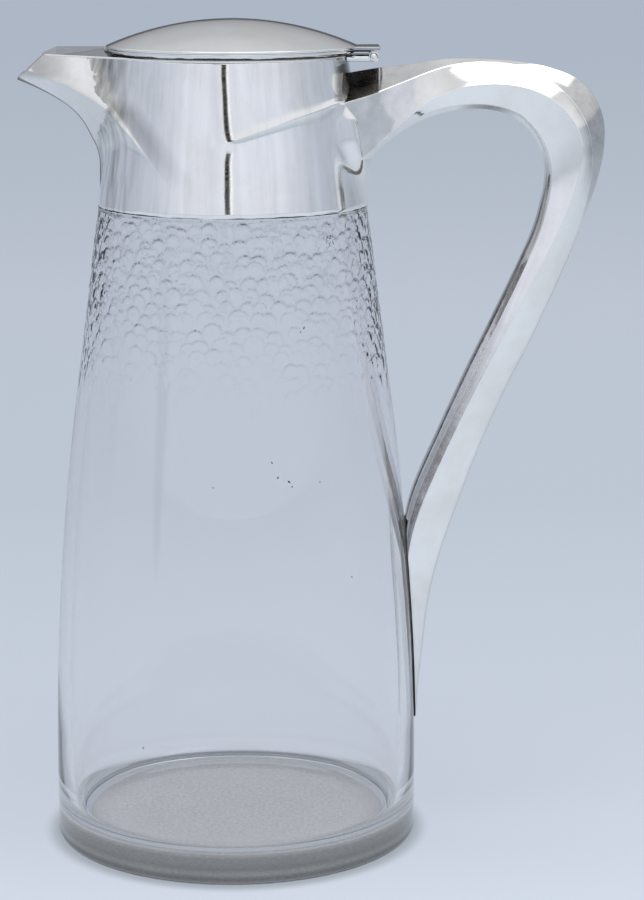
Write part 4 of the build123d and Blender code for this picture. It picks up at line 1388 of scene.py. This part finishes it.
def make_sweep():
    """Matt pale blue grey with painted light and shade that change with the distance, and a painted shadow
    where the foot stands.
    """
    material, tree, shader, place = new_material("pale_sweep", Roughness=1.0, Specular_IOR_Level=0.0)
    away = add_node(tree, "ShaderNodeSeparateXYZ", Vector=place).outputs[1]
    tone = colour_ramp(tree, spread(tree, away, -0.2, 4.8), [
        (0.0, (0.715, 0.768, 0.838)), (0.026, (0.70, 0.752, 0.82)), (0.066, (0.612, 0.664, 0.727)),
        (0.133, (0.58, 0.634, 0.70)), (0.264, (0.655, 0.709, 0.777)), (1.0, (0.632, 0.685, 0.774))])
    from_axis = add_node(tree, "ShaderNodeVectorMath", {"operation": "LENGTH"}, i0=place).outputs["Value"]
    painted_contact_shadow = spread(tree, from_axis, 0.0545, 0.0610, (0.62, 1.0), smooth=True)
    tree.links.new(scaled(tree, tone, painted_contact_shadow), shader.inputs["Base Color"])
    return material


floor_half, floor_near, floor_far = 14.0, -4.0, 26.0
floor = flat_piece("studio_floor", [(-floor_half, floor_near, 0), (floor_half, floor_near, 0),
                                    (floor_half, floor_far, 0), (-floor_half, floor_far, 0)])
floor.data.materials.append(make_sweep())
print("floor:", [round(size, 1) for size in floor.dimensions])

# %% Tent
def make_tent():
    """World in tones by direction: side walls with faint folds, the wall behind, and overhead."""
    world = bpy.data.worlds.new("light_tent")
    bpy.context.scene.world = world
    world.use_nodes = True
    tree = world.node_tree
    tree.nodes.clear()
    place = tree.nodes.new("ShaderNodeTexCoord").outputs["Generated"]
    y, z = add_node(tree, "ShaderNodeSeparateXYZ", Vector=place).outputs[1:]
    walls = colour_ramp(tree, spread(tree, y, -1.0, 1.0), [
        (0.0, (0.75, 0.785, 0.88)), (0.15, (0.72, 0.755, 0.85)), (0.25, (0.62, 0.66, 0.76)),
        (0.325, (0.57, 0.61, 0.70)), (0.5, (0.47, 0.515, 0.60)), (1.0, (0.41, 0.46, 0.54))])
    folds = spread(tree, stretched_noise(tree, place, (9.0, 9.0, 0.8), 3.0, 0.6), 0.3, 0.7, (0.93, 1.06))
    back = colour_ramp(tree, spread(tree, z, 0.0, 1.0), [
        (0.0, (0.30, 0.33, 0.37)), (0.04, (0.10, 0.105, 0.115)), (0.15, (0.10, 0.105, 0.115)),
        (0.2, (0.33, 0.34, 0.36)), (0.34, (0.42, 0.435, 0.46)), (0.47, (0.49, 0.51, 0.535)),
        (0.62, (0.525, 0.545, 0.57)), (1.0, (0.60, 0.62, 0.65))])
    tone = scaled(tree, walls, folds)
    for share, colour in ((spread(tree, z, 0.27, 0.36, smooth=True), (0.80, 0.82, 0.86, 1)),
                          (spread(tree, y, 0.42, 0.86, smooth=True), back),
                          (spread(tree, z, 0.55, 0.95, smooth=True), (0.62, 0.64, 0.665, 1))):
        tone = add_node(tree, "ShaderNodeMixRGB", Fac=share, Color1=tone, Color2=colour).outputs[0]
    background = add_node(tree, "ShaderNodeBackground", Color=tone, Strength=1.0)
    add_node(tree, "ShaderNodeOutputWorld", Surface=background.outputs[0])
    print("nodes in the tent:", len(tree.nodes))


make_tent()

# %% The soft lamp
def soft_lamp(name, place, turn, size, power):
    """Rectangular lamp: place and size in metres, turn in degrees, power in watts."""
    lamp = bpy.data.lights.new(name, "AREA")
    lamp.shape, lamp.size, lamp.size_y, lamp.energy = "RECTANGLE", size[0], size[1], power
    holder = bpy.data.objects.new(name, lamp)
    holder.location, holder.rotation_euler = place, [math.radians(t) for t in turn]
    bpy.context.scene.collection.objects.link(holder)
    print(f"{name}: {size[0]} by {size[1]} m, {power} W")


soft_lamp("overhead_softbox", (0.17, -0.2, 1.5), (-6, 0, 0), (1.35, 0.85), 4.2)
soft_lamp("overhead_softbox_rim", (0.17, -0.2, 1.52), (-6, 0, 0), (1.75, 1.12), 4.2)

# %% The dark gap in the tent
def card_in_gap(name, shift, half, colour, glow):
    """Upright card in the tent's gap that only reflections show; shift is its place across the gap."""
    y, low, high = -0.70, 0.285, 0.62
    lower, upper = [shift - 0.070 + (0.37 - z) * 0.58 for z in (low, high)]
    card = flat_piece(name, [(lower - half, y, low), (lower + half, y, low),
                             (upper + half, y, high), (upper - half, y, high)])
    cloth = new_material(name + "_cloth", Base_Color=(*colour, 1), Specular_IOR_Level=0.0,
                         Emission_Color=(1.0, 1.0, 1.0, 1), Emission_Strength=glow)[0]
    card.data.materials.append(cloth)
    card.visible_camera = card.visible_transmission = card.visible_shadow = card.visible_diffuse = False
    print(f"{name}: {2 * half * 1000:.0f} mm wide")


card_in_gap("tent_gap", 0.0, 0.027, (0.01, 0.01, 0.012), 0.0)
card_in_gap("tent_edge_right", 0.041, 0.012, (0.1, 0.1, 0.1), 1.0)
card_in_gap("tent_edge_left", -0.034, 0.006, (0.1, 0.1, 0.1), 0.9)

# %% [markdown]
# ## Camera and the last steps
#
# The camera stands a little above the rim, close enough for some perspective. The last call updates
# the view layer.

# %% Camera
camera_data = bpy.data.cameras.new("studio_camera")
camera_data.sensor_width, camera_data.lens = 36.0, 108.12
camera = bpy.data.objects.new("studio_camera", camera_data)
camera.location = (0.02676, -0.8097, 0.2863)
camera.rotation_euler = (math.radians(90 - 11.60), 0, 0)
bpy.context.scene.collection.objects.link(camera)
bpy.context.scene.camera = camera
bpy.context.scene.view_settings.view_transform = "Standard"
print("camera:", camera_data.lens, "mm lens at", [round(place, 3) for place in camera.location])

# %% Finish
bpy.context.view_layer.update()
